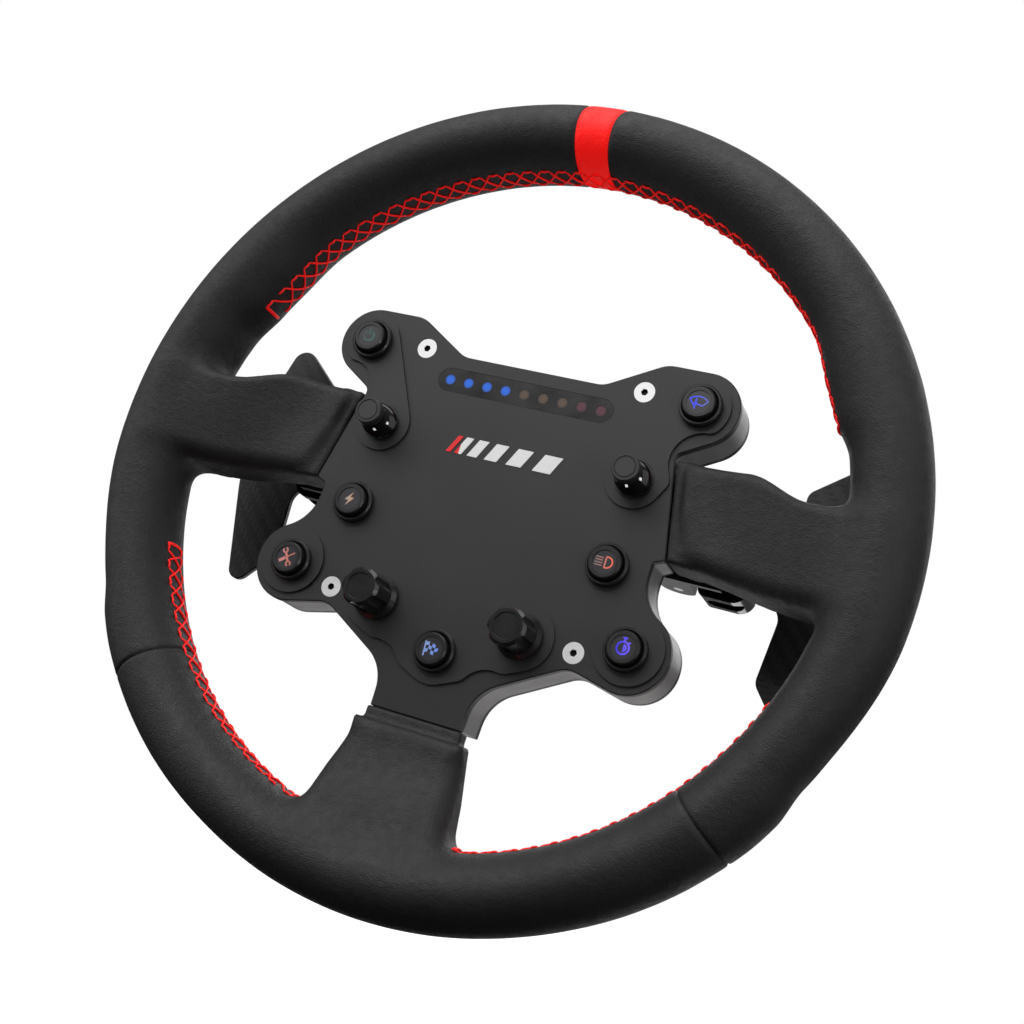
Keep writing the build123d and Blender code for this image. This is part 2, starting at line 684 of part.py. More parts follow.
def paddle_bracket():
    """Base with two ears for the pin and a post for the stop magnet."""
    low, high = BRACKET_Y
    web = ((63.0, BRACKET_BACK), (79.0, BRACKET_BACK), (79.0, PIVOT_Z), (65.0, PIVOT_Z))
    ear = Plane.XZ * (make_face(Polyline(*web, close=True)) + Pos(PIVOT_X, PIVOT_Z) * Circle(7.0))
    lower_ear = Pos(0, low + EAR_THICKNESS, 0) * extrude(ear, amount=EAR_THICKNESS)
    upper_ear = Pos(0, high, 0) * extrude(ear, amount=EAR_THICKNESS)
    bracket = block((46.0, 92.0), (low, high), (BRACKET_BACK, COVER_BACK)) + lower_ear + upper_ear
    bracket += disc(MAGNET_RADIUS + 1.0, MAGNET_SEAT, BRACKET_BACK, *MAGNET_PLACE)
    bracket -= Pos(PIVOT_X, 0, PIVOT_Z) * Rot(90, 0, 0) * Cylinder(PIN_RADIUS, 90.0)
    for x, y in bracket_screws():
        bracket -= disc(SCREW_RADIUS, BRACKET_BACK, COVER_BACK, x, y)
    return bracket


def paddle_pin():
    """Pivot pin, held in both ears."""
    low, high = BRACKET_Y
    middle = (low + high) / 2
    return Pos(PIVOT_X, middle, PIVOT_Z) * Rot(90, 0, 0) * Cylinder(PIN_RADIUS, high - low)


def paddle_switch():
    """Small switch that the lever presses."""
    return block((84.0, 91.0), (4.0, 12.0), (-28.0, BRACKET_BACK))


def bracket_magnet():
    """Stop magnet on the bracket's post."""
    return disc(MAGNET_RADIUS, MAGNET_SEAT - MAGNET_THICKNESS, MAGNET_SEAT, *MAGNET_PLACE)


def lever_magnet():
    """Magnet in the lever's tail, just behind the stop magnet."""
    top = MAGNET_SEAT - MAGNET_THICKNESS - MAGNET_GAP
    return disc(MAGNET_RADIUS, top - MAGNET_THICKNESS, top, *MAGNET_PLACE)


def paddle_lever():
    """Rocking lever: a knuckle on the pin, a tail with its magnet and a pocketed head."""
    low, high = BRACKET_Y
    inner_low = low + EAR_THICKNESS + GAP
    inner_high = high - EAR_THICKNESS - GAP
    head = ((80.8, 24.5, 2.0), (100.0, 24.5, 4.0), (100.0, -12.5, 6.0), (80.8, -12.5, 3.0))
    lever = slab(rounded_face(head), BLADE_FRONT, LEVER_FRONT)
    pocket = make_face(FilletPolyline((84.0, -43.0), (98.0, -43.0), (98.0, -34.0), (84.0, -34.0),
                                      radius=4.0, close=True))
    lever -= Pos(0, -4.5, 0) * extrude(Plane.XZ * pocket, amount=12.0)
    lever += block((PIVOT_X, 82.0), (inner_low, inner_high), (-41.0, -31.0))
    lever += block((57.0, PIVOT_X), (2.0, 14.0), (-41.0, -34.0))
    knuckle = Pos(PIVOT_X, (inner_low + inner_high) / 2, PIVOT_Z) * Rot(90, 0, 0)
    lever += knuckle * Cylinder(6.0, inner_high - inner_low)
    lever -= knuckle * Cylinder(PIN_RADIUS + RUNNING, 60.0)
    for x, y in blade_screw_places():
        lever -= disc(1.5, BLADE_FRONT, BLADE_FRONT + 8.0, x, y)
    return lever - lever_magnet()


def blade_screw_places():
    """Screw places of the right blade."""
    return [(90.5, 3.0), (90.5, 18.0)]


def paddle_blade():
    """Flat blade behind the rim, with a horn up and a horn down."""
    blade = slab(rounded_face(BLADE), BLADE_FRONT - BLADE_THICKNESS, BLADE_FRONT)
    blade = chamfer(blade.edges().group_by(Axis.Z)[-1] + blade.edges().group_by(Axis.Z)[0], 0.5)
    for x, y in blade_screw_places():
        blade -= disc(1.5, BLADE_FRONT - BLADE_THICKNESS, BLADE_FRONT, x, y)
    return blade


def blade_screws():
    """Screws that hold the blade on the lever."""
    seat = BLADE_FRONT - BLADE_THICKNESS
    body = disc(2.8, seat - 1.8, seat) + disc(1.5, seat, seat + 10.0)
    body -= slab(RegularPolygon(1.15, 6), seat - 1.8, seat - 0.6)
    return [Pos(x, y, 0) * body for x, y in blade_screw_places()]


# --- The whole wheel ---

def save_box():
    """Button box, frame, rim and hub."""
    save("face_plate", face_plate())
    save("plate_gasket", plate_gasket())
    save("button_housing", button_housing())
    save("main_board", main_board())
    save("rear_cover", rear_cover())
    save("rear_screws", *rear_screws())
    save("face_screws", *face_screws())
    save("light_window", light_window())
    save("rev_lights", *rev_lights())
    save("centre_motif", *centre_motif())
    save("hub_spacer", hub_spacer())
    save("hub_bolts", *hub_bolts())
    save("hub_connector", hub_connector())


def save_rim():
    """Frame, foam and leather."""
    spider = frame()
    save("frame", spider)
    save("rim_foam", rim_body(LEATHER + BACKING_GAP) - spider)
    for name, piece in leather_cover(spider).items():
        save(name, piece)


def save_buttons():
    """Push buttons, each with its own cap and lens."""
    save("button_bezels", *[button_bezel(x, y, seat) for _, x, y, seat in BUTTONS])
    save("button_switches", *[button_switch(x, y) for _, x, y, _ in BUTTONS])
    for name, x, y, seat in BUTTONS:
        save(f"{name}_button_cap", button_cap(x, y, seat))
        save(f"{name}_button_lens", button_lens(x, y, seat))


def save_controls():
    """Joysticks and rotary knobs on both sides."""
    save("joystick_bases", *[joystick_base(x, y) for x, y in both_sides([JOYSTICK])])
    save("encoder_bodies", *[encoder_body(x, y) for x, y in both_sides([KNOB])])
    save("encoder_nuts", *[encoder_nut(x, y) for x, y in both_sides([KNOB])])
    for name, side in (("right", 1), ("left", -1)):
        x, y = JOYSTICK
        save(f"joystick_yoke_{name}", joystick_yoke(side * x, y))
        save(f"joystick_stick_{name}", joystick_stick(side * x, y))
        save(f"joystick_cap_{name}", joystick_cap(side * x, y))
        x, y = KNOB
        save(f"knob_shaft_{name}", knob_shaft(side * x, y))
        save(f"rotary_knob_{name}", rotary_knob(side * x, y))


def save_paddles():
    """Gear paddles on both sides."""
    save("paddle_brackets", paddle_bracket(), mirrored(paddle_bracket()))
    save("paddle_pins", paddle_pin(), mirrored(paddle_pin()))
    save("paddle_switches", paddle_switch(), mirrored(paddle_switch()))
    save("bracket_magnets", bracket_magnet(), mirrored(bracket_magnet()))
    for name, turn in (("right", lambda shape: shape), ("left", mirrored)):
        save(f"paddle_lever_{name}", turn(paddle_lever()))
        save(f"paddle_blade_{name}", turn(paddle_blade()))
        save(f"lever_magnet_{name}", turn(lever_magnet()))
        save(f"blade_screws_{name}", *[turn(body) for body in blade_screws()])


os.makedirs("parts", exist_ok=True)
save_box()
save_rim()
save_buttons()
save_controls()
save_paddles()
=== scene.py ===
import math

import bmesh
import bpy
import numpy as np
from mathutils import Matrix, Vector, noise


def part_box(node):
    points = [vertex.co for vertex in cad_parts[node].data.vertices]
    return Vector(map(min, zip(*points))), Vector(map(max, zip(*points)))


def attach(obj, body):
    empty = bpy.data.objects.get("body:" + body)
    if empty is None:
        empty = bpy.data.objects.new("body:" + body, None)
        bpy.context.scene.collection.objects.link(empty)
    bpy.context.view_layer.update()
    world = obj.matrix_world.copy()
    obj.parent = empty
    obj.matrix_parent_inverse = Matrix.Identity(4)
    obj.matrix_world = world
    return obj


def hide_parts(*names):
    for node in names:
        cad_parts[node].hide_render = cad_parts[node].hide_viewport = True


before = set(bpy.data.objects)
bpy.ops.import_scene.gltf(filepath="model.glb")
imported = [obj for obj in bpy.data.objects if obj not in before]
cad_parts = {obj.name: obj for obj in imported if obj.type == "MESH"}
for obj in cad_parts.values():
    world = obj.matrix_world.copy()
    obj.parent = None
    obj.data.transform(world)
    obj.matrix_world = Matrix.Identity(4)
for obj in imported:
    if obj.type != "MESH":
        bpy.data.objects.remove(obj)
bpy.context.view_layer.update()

# The wheel is drawn in the driver's view, in millimetres: u to the right, v up, w towards the driver
# from the face plate's front. to_row() turns that into the row frame.
MM = 0.001
PLATE_THICKNESS = 3.0
FACE_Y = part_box("plate_gasket")[0][1] / MM - PLATE_THICKNESS


def to_row(points):
    """Points of the driver's view, in millimetres, as points of the row frame, in metres."""
    points = np.asarray(points, dtype=float)
    return np.stack([points[..., 0], FACE_Y - points[..., 2], points[..., 1]], axis=-1) * MM


def centre_of(node):
    """Middle of a CAD node and its height towards the driver: u, v, w."""
    low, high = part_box(node)
    return ((low[0] + high[0]) / 2 / MM, (low[2] + high[2]) / 2 / MM, FACE_Y - low[1] / MM)


# --- Materials ---

LAMP_COUNT = 9
LIT_LAMPS = 4
AMBER_LAMPS = 3
# Depth of the screws' sockets, over which painted shade darkens them, and Y of the plug's face, from which
# its pins stand out, in metres
SOCKET_DEPTH = 0.0015
PLUG_FACE_Y = -0.0099
# How far the normals of the joystick domes lean towards the driver
DOME_LEAN = 0.7
# Share of the motif's width that its red bar takes
RED_SHARE = 0.115
# Width of a carbon tow, in metres
TOW_WIDTH = 0.0021


def grey(level):
    """Neutral colour."""
    return (level, level, level)


def new_material(name, color, roughness, metallic=0.0):
    """Principled material, with its node tree and its shader."""
    material = bpy.data.materials.new(name)
    material.use_nodes = True
    shader = material.node_tree.nodes["Principled BSDF"]
    shader.inputs["Base Color"].default_value = (*color, 1)
    shader.inputs["Roughness"].default_value = roughness
    shader.inputs["Metallic"].default_value = metallic
    return material, material.node_tree, shader


def add_node(tree, kind, **values):
    """Shader node with some of its inputs set by name."""
    node = tree.nodes.new(kind)
    for key, value in values.items():
        node.inputs[key.replace("_", " ")].default_value = value
    return node


def object_coordinates(tree, stretch=(1, 1, 1)):
    """Object coordinates, which are the row frame in metres."""
    place = tree.nodes.new("ShaderNodeTexCoord")
    mapping = tree.nodes.new("ShaderNodeMapping")
    mapping.inputs["Scale"].default_value = stretch
    tree.links.new(place.outputs["Object"], mapping.inputs["Vector"])
    return mapping.outputs["Vector"]


def object_axes(tree):
    """X, Y and Z of the object coordinates."""
    node = tree.nodes.new("ShaderNodeSeparateXYZ")
    tree.links.new(object_coordinates(tree), node.inputs["Vector"])
    return node.outputs["X"], node.outputs["Y"], node.outputs["Z"]


def noise_output(tree, scale, detail=3.0, stretch=(1, 1, 1)):
    """Noise in the row frame, with cells of 1 / scale metres."""
    texture = add_node(tree, "ShaderNodeTexNoise", Scale=scale, Detail=detail)
    tree.links.new(object_coordinates(tree, stretch), texture.inputs["Vector"])
    return texture.outputs["Fac"]


def ramp(tree, value, stops):
    """Colour ramp of position and colour pairs."""
    node = tree.nodes.new("ShaderNodeValToRGB")
    elements = node.color_ramp.elements
    while len(elements) < len(stops):
        elements.new(0.5)
    for element, (position, color) in zip(elements, stops):
        element.position = position
        element.color = (*color, 1)
    tree.links.new(value, node.inputs["Fac"])
    return node.outputs["Color"]


def color_by(tree, shader, value, stops):
    """Base colour that follows a value through a ramp."""
    tree.links.new(ramp(tree, value, stops), shader.inputs["Base Color"])


def give_light(shader, color, strength):
    """Light that a surface gives off."""
    shader.inputs["Emission Color"].default_value = (*color, 1)
    shader.inputs["Emission Strength"].default_value = strength


def math_node(tree, operation, first, second=None):
    """Math node; its inputs are sockets or numbers."""
    node = tree.nodes.new("ShaderNodeMath")
    node.operation = operation
    for index, value in enumerate((first, second)):
        if value is None:
            continue
        if isinstance(value, (int, float)):
            node.inputs[index].default_value = value
        else:
            tree.links.new(value, node.inputs[index])
    return node.outputs["Value"]


def vary_roughness(tree, shader, value, low, high):
    """Roughness that follows a texture between two limits."""
    spread = tree.nodes.new("ShaderNodeMapRange")
    spread.inputs["From Min"].default_value = 0.3
    spread.inputs["From Max"].default_value = 0.7
    spread.inputs["To Min"].default_value = low
    spread.inputs["To Max"].default_value = high
    tree.links.new(value, spread.inputs["Value"])
    tree.links.new(spread.outputs["Result"], shader.inputs["Roughness"])


def add_bump(tree, shader, height, strength, depth):
    """Bump of a depth in metres, on top of any bump already there."""
    bump = add_node(tree, "ShaderNodeBump", Strength=strength, Distance=depth)
    tree.links.new(height, bump.inputs["Height"])
    if shader.inputs["Normal"].links:
        tree.links.new(shader.inputs["Normal"].links[0].from_socket, bump.inputs["Normal"])
    tree.links.new(bump.outputs["Normal"], shader.inputs["Normal"])


def leather(name, dark, light, low, high, painted_glow=0.0):
    """Grained leather: small pebbles, fine creases between them and faint wide tone changes, with an
    optional painted glow.
    """
    material, tree, shader = new_material(name, dark, 0.5)
    color_by(tree, shader, noise_output(tree, 60, 4), [(0.35, dark), (0.7, light)])
    shader.inputs["Specular IOR Level"].default_value = 0.42
    # Painted glow: above zero the leather gives off light of its lighter tone, though it is no lamp
    give_light(shader, light, painted_glow)
    vary_roughness(tree, shader, noise_output(tree, 260, 4), low, high)
    pebbles = add_node(tree, "ShaderNodeTexVoronoi", Scale=1100, Randomness=1.0)
    pebbles.feature = "DISTANCE_TO_EDGE"
    tree.links.new(object_coordinates(tree), pebbles.inputs["Vector"])
    creases = ramp(tree, pebbles.outputs["Distance"], [(0.0, grey(0)), (0.25, grey(1))])
    add_bump(tree, shader, creases, 0.45, 0.00018)
    add_bump(tree, shader, noise_output(tree, 520, 4), 0.5, 0.0005)
    add_bump(tree, shader, noise_output(tree, 160, 3), 0.2, 0.0006)
    return material


def coated_metal(name, color, roughness, grain=1400, strength=0.25):
    """Bead-blasted and coated metal: a fine even grain and slight tone changes."""
    material, tree, shader = new_material(name, color, roughness, 0.15)
    lighter = tuple(1.25 * channel for channel in color)
    color_by(tree, shader, noise_output(tree, 25, 3), [(0.3, color), (0.75, lighter)])
    fine = noise_output(tree, grain, 2)
    vary_roughness(tree, shader, fine, roughness - 0.06, roughness + 0.08)
    add_bump(tree, shader, fine, strength, 0.0001)
    return material


def moulded_plastic(name, color, roughness, grain=900, strength=0.12, coat=0.0):
    """Moulded plastic with a fine spark-eroded texture."""
    material, tree, shader = new_material(name, color, roughness)
    shader.inputs["Coat Weight"].default_value = coat
    shader.inputs["Coat Roughness"].default_value = 0.08
    fine = noise_output(tree, grain, 3)
    vary_roughness(tree, shader, noise_output(tree, 120, 4), max(roughness - 0.05, 0.03), roughness + 0.06)
    add_bump(tree, shader, fine, strength, 0.0001)
    return material


def glossy_dome():
    """Glossy black whose normals lean towards the driver, as on a fuller dome."""
    material, tree, shader = new_material("glossy_dome", grey(0.004), 0.08)
    surface = tree.nodes.new("ShaderNodeNewGeometry")
    lean = tree.nodes.new("ShaderNodeVectorMath")
    lean.inputs[1].default_value = (0, -DOME_LEAN, 0)
    even = tree.nodes.new("ShaderNodeVectorMath")
    even.operation = "NORMALIZE"
    tree.links.new(surface.outputs["Normal"], lean.inputs[0])
    tree.links.new(lean.outputs["Vector"], even.inputs[0])
    tree.links.new(even.outputs["Vector"], shader.inputs["Normal"])
    vary_roughness(tree, shader, noise_output(tree, 200, 4), 0.05, 0.12)
    return material


def turned_metal(name, color, roughness, metallic=1.0):
    """Metal with fine machining marks and small scuffs."""
    material, tree, shader = new_material(name, color, roughness, metallic)
    marks = noise_output(tree, 300, 5, (1, 8, 1))
    vary_roughness(tree, shader, marks, roughness - 0.08, roughness + 0.12)
    add_bump(tree, shader, marks, 0.1, 0.0001)
    return material


def plug_and_pins():
    """Black plug body with gold pins, which stand out of its face."""
    black, gold = grey(0.012), (0.75, 0.5, 0.2)
    material, tree, shader = new_material("plug_and_pins", black, 0.35)
    _, depth, _ = object_axes(tree)
    pin = math_node(tree, "GREATER_THAN", depth, PLUG_FACE_Y)
    color_by(tree, shader, pin, [(0.0, black), (1.0, gold)])
    tree.links.new(pin, shader.inputs["Metallic"])
    vary_roughness(tree, shader, noise_output(tree, 400, 4), 0.28, 0.42)
    return material


def screw_heads():
    """Bright zinc, with painted shade darkening it inside the sockets."""
    material, tree, shader = new_material("bright_zinc", grey(0.8), 0.38, 0.35)
    _, y, _ = object_axes(tree)
    # Painted shade: the zinc's colour darkens with depth into each socket, where shade falls
    depth = math_node(tree, "SUBTRACT", y, float(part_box("face_screws")[0][1]))
    socket_shade = math_node(tree, "DIVIDE", depth, SOCKET_DEPTH)
    color_by(tree, shader, socket_shade, [(0.1, grey(0.85)), (0.35, grey(0.05)), (0.8, grey(0.01))])
    marks = noise_output(tree, 900, 4)
    vary_roughness(tree, shader, marks, 0.3, 0.5)
    add_bump(tree, shader, marks, 0.15, 0.0001)
    return material


def thread():
    """Red twisted thread, with a painted glow that makes it brighter than the lamps alone would."""
    red = (1.0, 0.004, 0.002)
    material, tree, shader = new_material("red_thread", red, 0.6)
    # Painted glow: the thread gives off a little red light though it is no lamp
    give_light(shader, red, 0.2)
    add_bump(tree, shader, noise_output(tree, 3000, 2), 0.5, 0.0001)
    return material


def carbon_fibre():
    """Satin twill laminate: warp and weft tows 2 mm wide, the warp painted lighter as a painted sheen."""
    material, tree, shader = new_material("carbon_twill", (0.02, 0.02, 0.021), 0.4)
    x, _, z = object_axes(tree)
    across = math_node(tree, "DIVIDE", x, TOW_WIDTH)
    along = math_node(tree, "DIVIDE", z, TOW_WIDTH)
    steps = math_node(tree, "ADD", math_node(tree, "FLOOR", across), math_node(tree, "FLOOR", along))
    phase = math_node(tree, "FLOORED_MODULO", steps, 4)
    warp = math_node(tree, "LESS_THAN", phase, 1.5)
    # Painted sheen: warp tows get a lighter base colour than weft tows, standing in for their different
    # sheen
    color_by(tree, shader, warp, [(0.0, (0.009, 0.009, 0.0095)), (1.0, (0.020, 0.020, 0.0205))])
    crown_x = math_node(tree, "SINE", math_node(tree, "MULTIPLY", math_node(tree, "FRACT", across), math.pi))
    crown_z = math_node(tree, "SINE", math_node(tree, "MULTIPLY", math_node(tree, "FRACT", along), math.pi))
    upper = math_node(tree, "MULTIPLY", crown_x, warp)
    lower = math_node(tree, "MULTIPLY", crown_z, math_node(tree, "SUBTRACT", 1.0, warp))
    add_bump(tree, shader, math_node(tree, "ADD", upper, lower), 0.25, 0.00012)
    fibres = noise_output(tree, 2500, 2, (1, 1, 0.1))
    vary_roughness(tree, shader, fibres, 0.38, 0.52)
    return material


def glow(name, left, right, node):
    """Lit symbol whose colour changes from left to right across a lens, a little uneven."""
    material, tree, shader = new_material(name, tuple(0.2 * channel for channel in left), 0.4)
    shader.inputs["Emission Strength"].default_value = 1.0
    low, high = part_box(node)
    x, _, _ = object_axes(tree)
    from_left = math_node(tree, "SUBTRACT", x, float(low[0]))
    share = math_node(tree, "DIVIDE", from_left, float(high[0] - low[0]))
    uneven = math_node(tree, "MULTIPLY", math_node(tree, "SUBTRACT", noise_output(tree, 600, 2), 0.5), 0.5)
    color = ramp(tree, math_node(tree, "ADD", share, uneven), [(0.25, left), (0.75, right)])
    tree.links.new(color, shader.inputs["Emission Color"])
    return material


def lamp_colours():
    """Rev lights: four lit blue, three dim amber and two dim red, each brightest at its middle."""
    material, tree, shader = new_material("rev_lights", (0.006, 0.006, 0.008), 0.35)
    shader.inputs["Emission Strength"].default_value = 1.0
    x, _, z = object_axes(tree)
    (left, _, bottom), (right, _, top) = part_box("rev_lights")
    radius = float(top - bottom) / 2
    pitch = float(right - left - 2 * radius) / (LAMP_COUNT - 1)
    from_first = math_node(tree, "SUBTRACT", x, float(left) + radius)
    steps = math_node(tree, "DIVIDE", from_first, pitch)
    nearest = math_node(tree, "ROUND", steps)
    across = math_node(tree, "MULTIPLY", math_node(tree, "SUBTRACT", steps, nearest), pitch / radius)
    from_middle = math_node(tree, "SUBTRACT", z, float(top + bottom) / 2)
    up = math_node(tree, "DIVIDE", from_middle, radius)
    across_squared = math_node(tree, "MULTIPLY", across, across)
    up_squared = math_node(tree, "MULTIPLY", up, up)
    out = math_node(tree, "SQRT", math_node(tree, "ADD", across_squared, up_squared))
    number = math_node(tree, "DIVIDE", math_node(tree, "ADD", nearest, 0.5), float(LAMP_COUNT))
    blue, amber, red = (0.0, 0.11, 0.62), (0.07, 0.042, 0.022), (0.07, 0.010, 0.022)
    first_amber = LIT_LAMPS / LAMP_COUNT
    first_red = (LIT_LAMPS + AMBER_LAMPS) / LAMP_COUNT
    color = ramp(tree, number, [(0.0, blue), (first_amber, amber), (first_red, red)])
    color.node.color_ramp.interpolation = "CONSTANT"
    shade = ramp(tree, out, [(0.0, grey(1.15)), (0.75, grey(0.85)), (1.0, grey(0.25))])
    mix = tree.nodes.new("ShaderNodeVectorMath")
    mix.operation = "MULTIPLY"
    tree.links.new(color, mix.inputs[0])
    tree.links.new(shade, mix.inputs[1])
    tree.links.new(mix.outputs["Vector"], shader.inputs["Emission Color"])
    return material


def motif_print():
    """White printed bars, the first of them red."""
    material, tree, shader = new_material("motif_print", grey(0.8), 0.4)
    x, _, _ = object_axes(tree)
    low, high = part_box("centre_motif")
    edge = low[0] + RED_SHARE * (high[0] - low[0])
    red = math_node(tree, "LESS_THAN", x, float(edge))
    color_by(tree, shader, red, [(0.0, grey(0.82)), (1.0, (0.8, 0.01, 0.012))])
    add_bump(tree, shader, noise_output(tree, 1500, 2), 0.1, 0.0001)
    return material


MATERIALS = {
    "black_leather": leather("black_leather", (0.0115, 0.0115, 0.0118), (0.0155, 0.0155, 0.0160),
                             0.52, 0.66),
    # The red stripe carries a painted glow of 0.42
    "red_leather": leather("red_leather", (0.90, 0.002, 0.001), (1.0, 0.004, 0.002), 0.5, 0.65, 0.42),
    "plate": coated_metal("plate_coating", (0.020, 0.020, 0.021), 0.5),
    "cover": coated_metal("cover_coating", (0.018, 0.018, 0.019), 0.5),
    "anodised": coated_metal("black_anodised", (0.012, 0.012, 0.0125), 0.36, 900),
    "gasket": moulded_plastic("gasket_rubber", (0.004, 0.004, 0.004), 0.8),
    "housing": moulded_plastic("housing_plastic", (0.27, 0.27, 0.273), 0.42, 700, 0.2),
    "board": moulded_plastic("circuit_board", (0.005, 0.035, 0.02), 0.4),
    "alloy": turned_metal("cast_alloy", (0.45, 0.45, 0.46), 0.45),
    "foam": moulded_plastic("rim_foam", (0.02, 0.02, 0.02), 0.9),
    "steel": turned_metal("bright_steel", (0.78, 0.78, 0.78), 0.28),
    "zinc": screw_heads(),
    "dark_steel": turned_metal("black_oxide", (0.03, 0.03, 0.03), 0.4),
    "window": moulded_plastic("smoked_window", (0.010, 0.0095, 0.0095), 0.25, 600, 0.02, 0.15),
    "satin_black": moulded_plastic("satin_black", (0.010, 0.010, 0.0105), 0.38, 1200, 0.1),
    "lens": moulded_plastic("legend_lens", (0.030, 0.030, 0.035), 0.35, 1500, 0.05),
    "gloss_black": moulded_plastic("gloss_black", (0.004, 0.004, 0.004), 0.1, 300, 0.02, 1.0),
    "dome": glossy_dome(),
    "soft_black": moulded_plastic("soft_touch", (0.020, 0.020, 0.021), 0.48, 1500, 0.15),
    "knob": moulded_plastic("knob_black", (0.010, 0.010, 0.0105), 0.27, 600, 0.05, 0.3),
    "carbon": carbon_fibre(),
    "contact": plug_and_pins(),
    "thread": thread(),
    "motif": motif_print(),
    "lamps": lamp_colours(),
    "teal_light": glow("teal_light", (0.035, 0.06, 0.055), (0.02, 0.14, 0.10), "start_button_lens"),
    "blue_light": glow("blue_light", (0.03, 0.05, 0.85), (0.10, 0.13, 0.50), "wiper_button_lens"),
    "amber_light": glow("amber_light", (0.30, 0.28, 0.27), (0.45, 0.20, 0.05), "ignition_button_lens"),
    "orange_light": glow("orange_light", (0.22, 0.15, 0.15), (0.75, 0.12, 0.05), "headlight_button_lens"),
    "pink_light": glow("pink_light", (0.45, 0.17, 0.16), (0.40, 0.12, 0.08), "tools_button_lens"),
    "pale_light": glow("pale_light", (0.18, 0.25, 0.50), (0.10, 0.20, 0.60), "flag_button_lens"),
    "violet_light": glow("violet_light", (0.04, 0.03, 0.60), (0.16, 0.10, 0.90), "timer_button_lens"),
}

# Material of each CAD node that stays, by the start of its name
NODE_MATERIALS = (
    ("face_plate", "plate"), ("plate_gasket", "gasket"), ("button_housing", "housing"),
    ("main_board", "board"), ("rear_cover", "cover"), ("rear_screws", "dark_steel"), ("face_screws", "zinc"),
    ("light_window", "window"), ("rev_lights", "lamps"), ("centre_motif", "motif"),
    ("hub_spacer", "anodised"), ("hub_bolts", "dark_steel"),
    ("hub_connector", "contact"), ("frame", "alloy"), ("rim_foam", "foam"), ("leather_", "black_leather"),
    ("centre_stripe", "red_leather"), ("button_bezels", "satin_black"), ("button_switches", "satin_black"),
    ("joystick_bases", "satin_black"), ("encoder_bodies", "satin_black"), ("encoder_nuts", "steel"),
    ("paddle_brackets", "satin_black"), ("paddle_pins", "steel"), ("paddle_switches", "satin_black"),
    ("bracket_magnets", "steel"), ("lever_magnet", "steel"), ("blade_screws", "dark_steel"),
    ("paddle_lever", "gloss_black"), ("paddle_blade", "carbon"), ("joystick_yoke", "steel"),
    ("joystick_stick", "dome"), ("joystick_cap", "soft_black"), ("knob_shaft", "steel"),
    ("rotary_knob", "knob"),
)


def material_for(node):
    """Material of a CAD node by its name."""
    if node.endswith("_cap") and "button" in node:
        return MATERIALS["satin_black"]
    if node.endswith("_lens"):
        return MATERIALS["lens"]
    for start, name in NODE_MATERIALS:
        if node.startswith(start):
            return MATERIALS[name]
    raise ValueError(f"no material for {node}")


def dress_cad_nodes():
    """Give each CAD node its material."""
    for name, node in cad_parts.items():
        node.data.materials.clear()
        node.data.materials.append(material_for(name))


# --- Mesh helpers ---

def new_piece(name, points, faces, material, body, smooth=True):
    """Mesh object from points of the driver's view, in millimetres, riding on a body."""
    mesh = bpy.data.meshes.new(name)
    mesh.from_pydata([tuple(point) for point in to_row(points)], [], [tuple(face) for face in faces])
    piece = bpy.data.objects.new(name, mesh)
    bpy.context.scene.collection.objects.link(piece)
    mesh.materials.append(MATERIALS[material])
    mesh.polygons.foreach_set("use_smooth", [smooth] * len(mesh.polygons))
    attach(piece, body)
    return piece


def tube_mesh(path, radius, sides=6):
    """Points and faces of a tube along a path, closed at both ends."""
    path = np.asarray(path, dtype=float)
    along = np.gradient(path, axis=0)
    along /= np.linalg.norm(along, axis=1)[:, None]
    helper = np.cross(along, path / np.linalg.norm(path, axis=1)[:, None])
    helper /= np.linalg.norm(helper, axis=1)[:, None]
    other = np.cross(along, helper)
    turns = np.arange(sides) * 2 * math.pi / sides
    rings = [path + radius * (math.cos(t) * helper + math.sin(t) * other) for t in turns]
    points = np.stack(rings, axis=1).reshape(-1, 3)
    faces = []
    for ring in range(len(path) - 1):
        for side in range(sides):
            following = (side + 1) % sides
            start, end = ring * sides, (ring + 1) * sides
            faces.append((start + side, start + following, end + following, end + side))
    faces.append(tuple(range(sides))[::-1])
    faces.append(tuple(range((len(path) - 1) * sides, len(path) * sides)))
    return points, faces


def join_meshes(parts):
    """Points and faces of several meshes as one."""
    points, faces, offset = [], [], 0
    for part_points, part_faces in parts:
        points.append(np.asarray(part_points, dtype=float))
        faces += [tuple(index + offset for index in face) for face in part_faces]
        offset += len(part_points)
    return np.concatenate(points), faces


# --- Rim and spokes as one distance field ---

RIM_RADIUS = 150.3
RIM_HALF_WIDTH = 14.66
RIM_HALF_DEPTH = 20.1
SPOKE_FRONT = 3.0
SIDE_SPOKE_BACK = -20.0
LOWER_SPOKE_BACK = -7.0
WELT_FRONT = 0.3
# Changes of the rim's half width: thumb rests inside it, hollows and bulges outside it
REST_RISE = 3.0
HOLLOW_DEPTH = 2.3
BULGE_RISE = 0.9
# How much further forward the spokes come at the rim
SIDE_SPOKE_RISE = 12.0
LOWER_SPOKE_RISE = 9.0
SPOKE_FILLET = 9.0
WELT_FILLET = 1.5
FIELD_CELL = 1.2

# The seams across the rim: the stripe's two edges, and one on each side of the lower panel
STRIPE_WIDTH = 15.0
HALF_STRIPE = math.degrees(STRIPE_WIDTH / 2 / RIM_RADIUS)
LOWER_LEFT_SEAM = 221.8
LOWER_RIGHT_SEAM = 320.0
# The mesh has extra cuts this far from the middle of each seam, in millimetres and in degrees
SEAM_CUT = 0.45
SEAM_EDGE = math.degrees(SEAM_CUT / RIM_RADIUS)
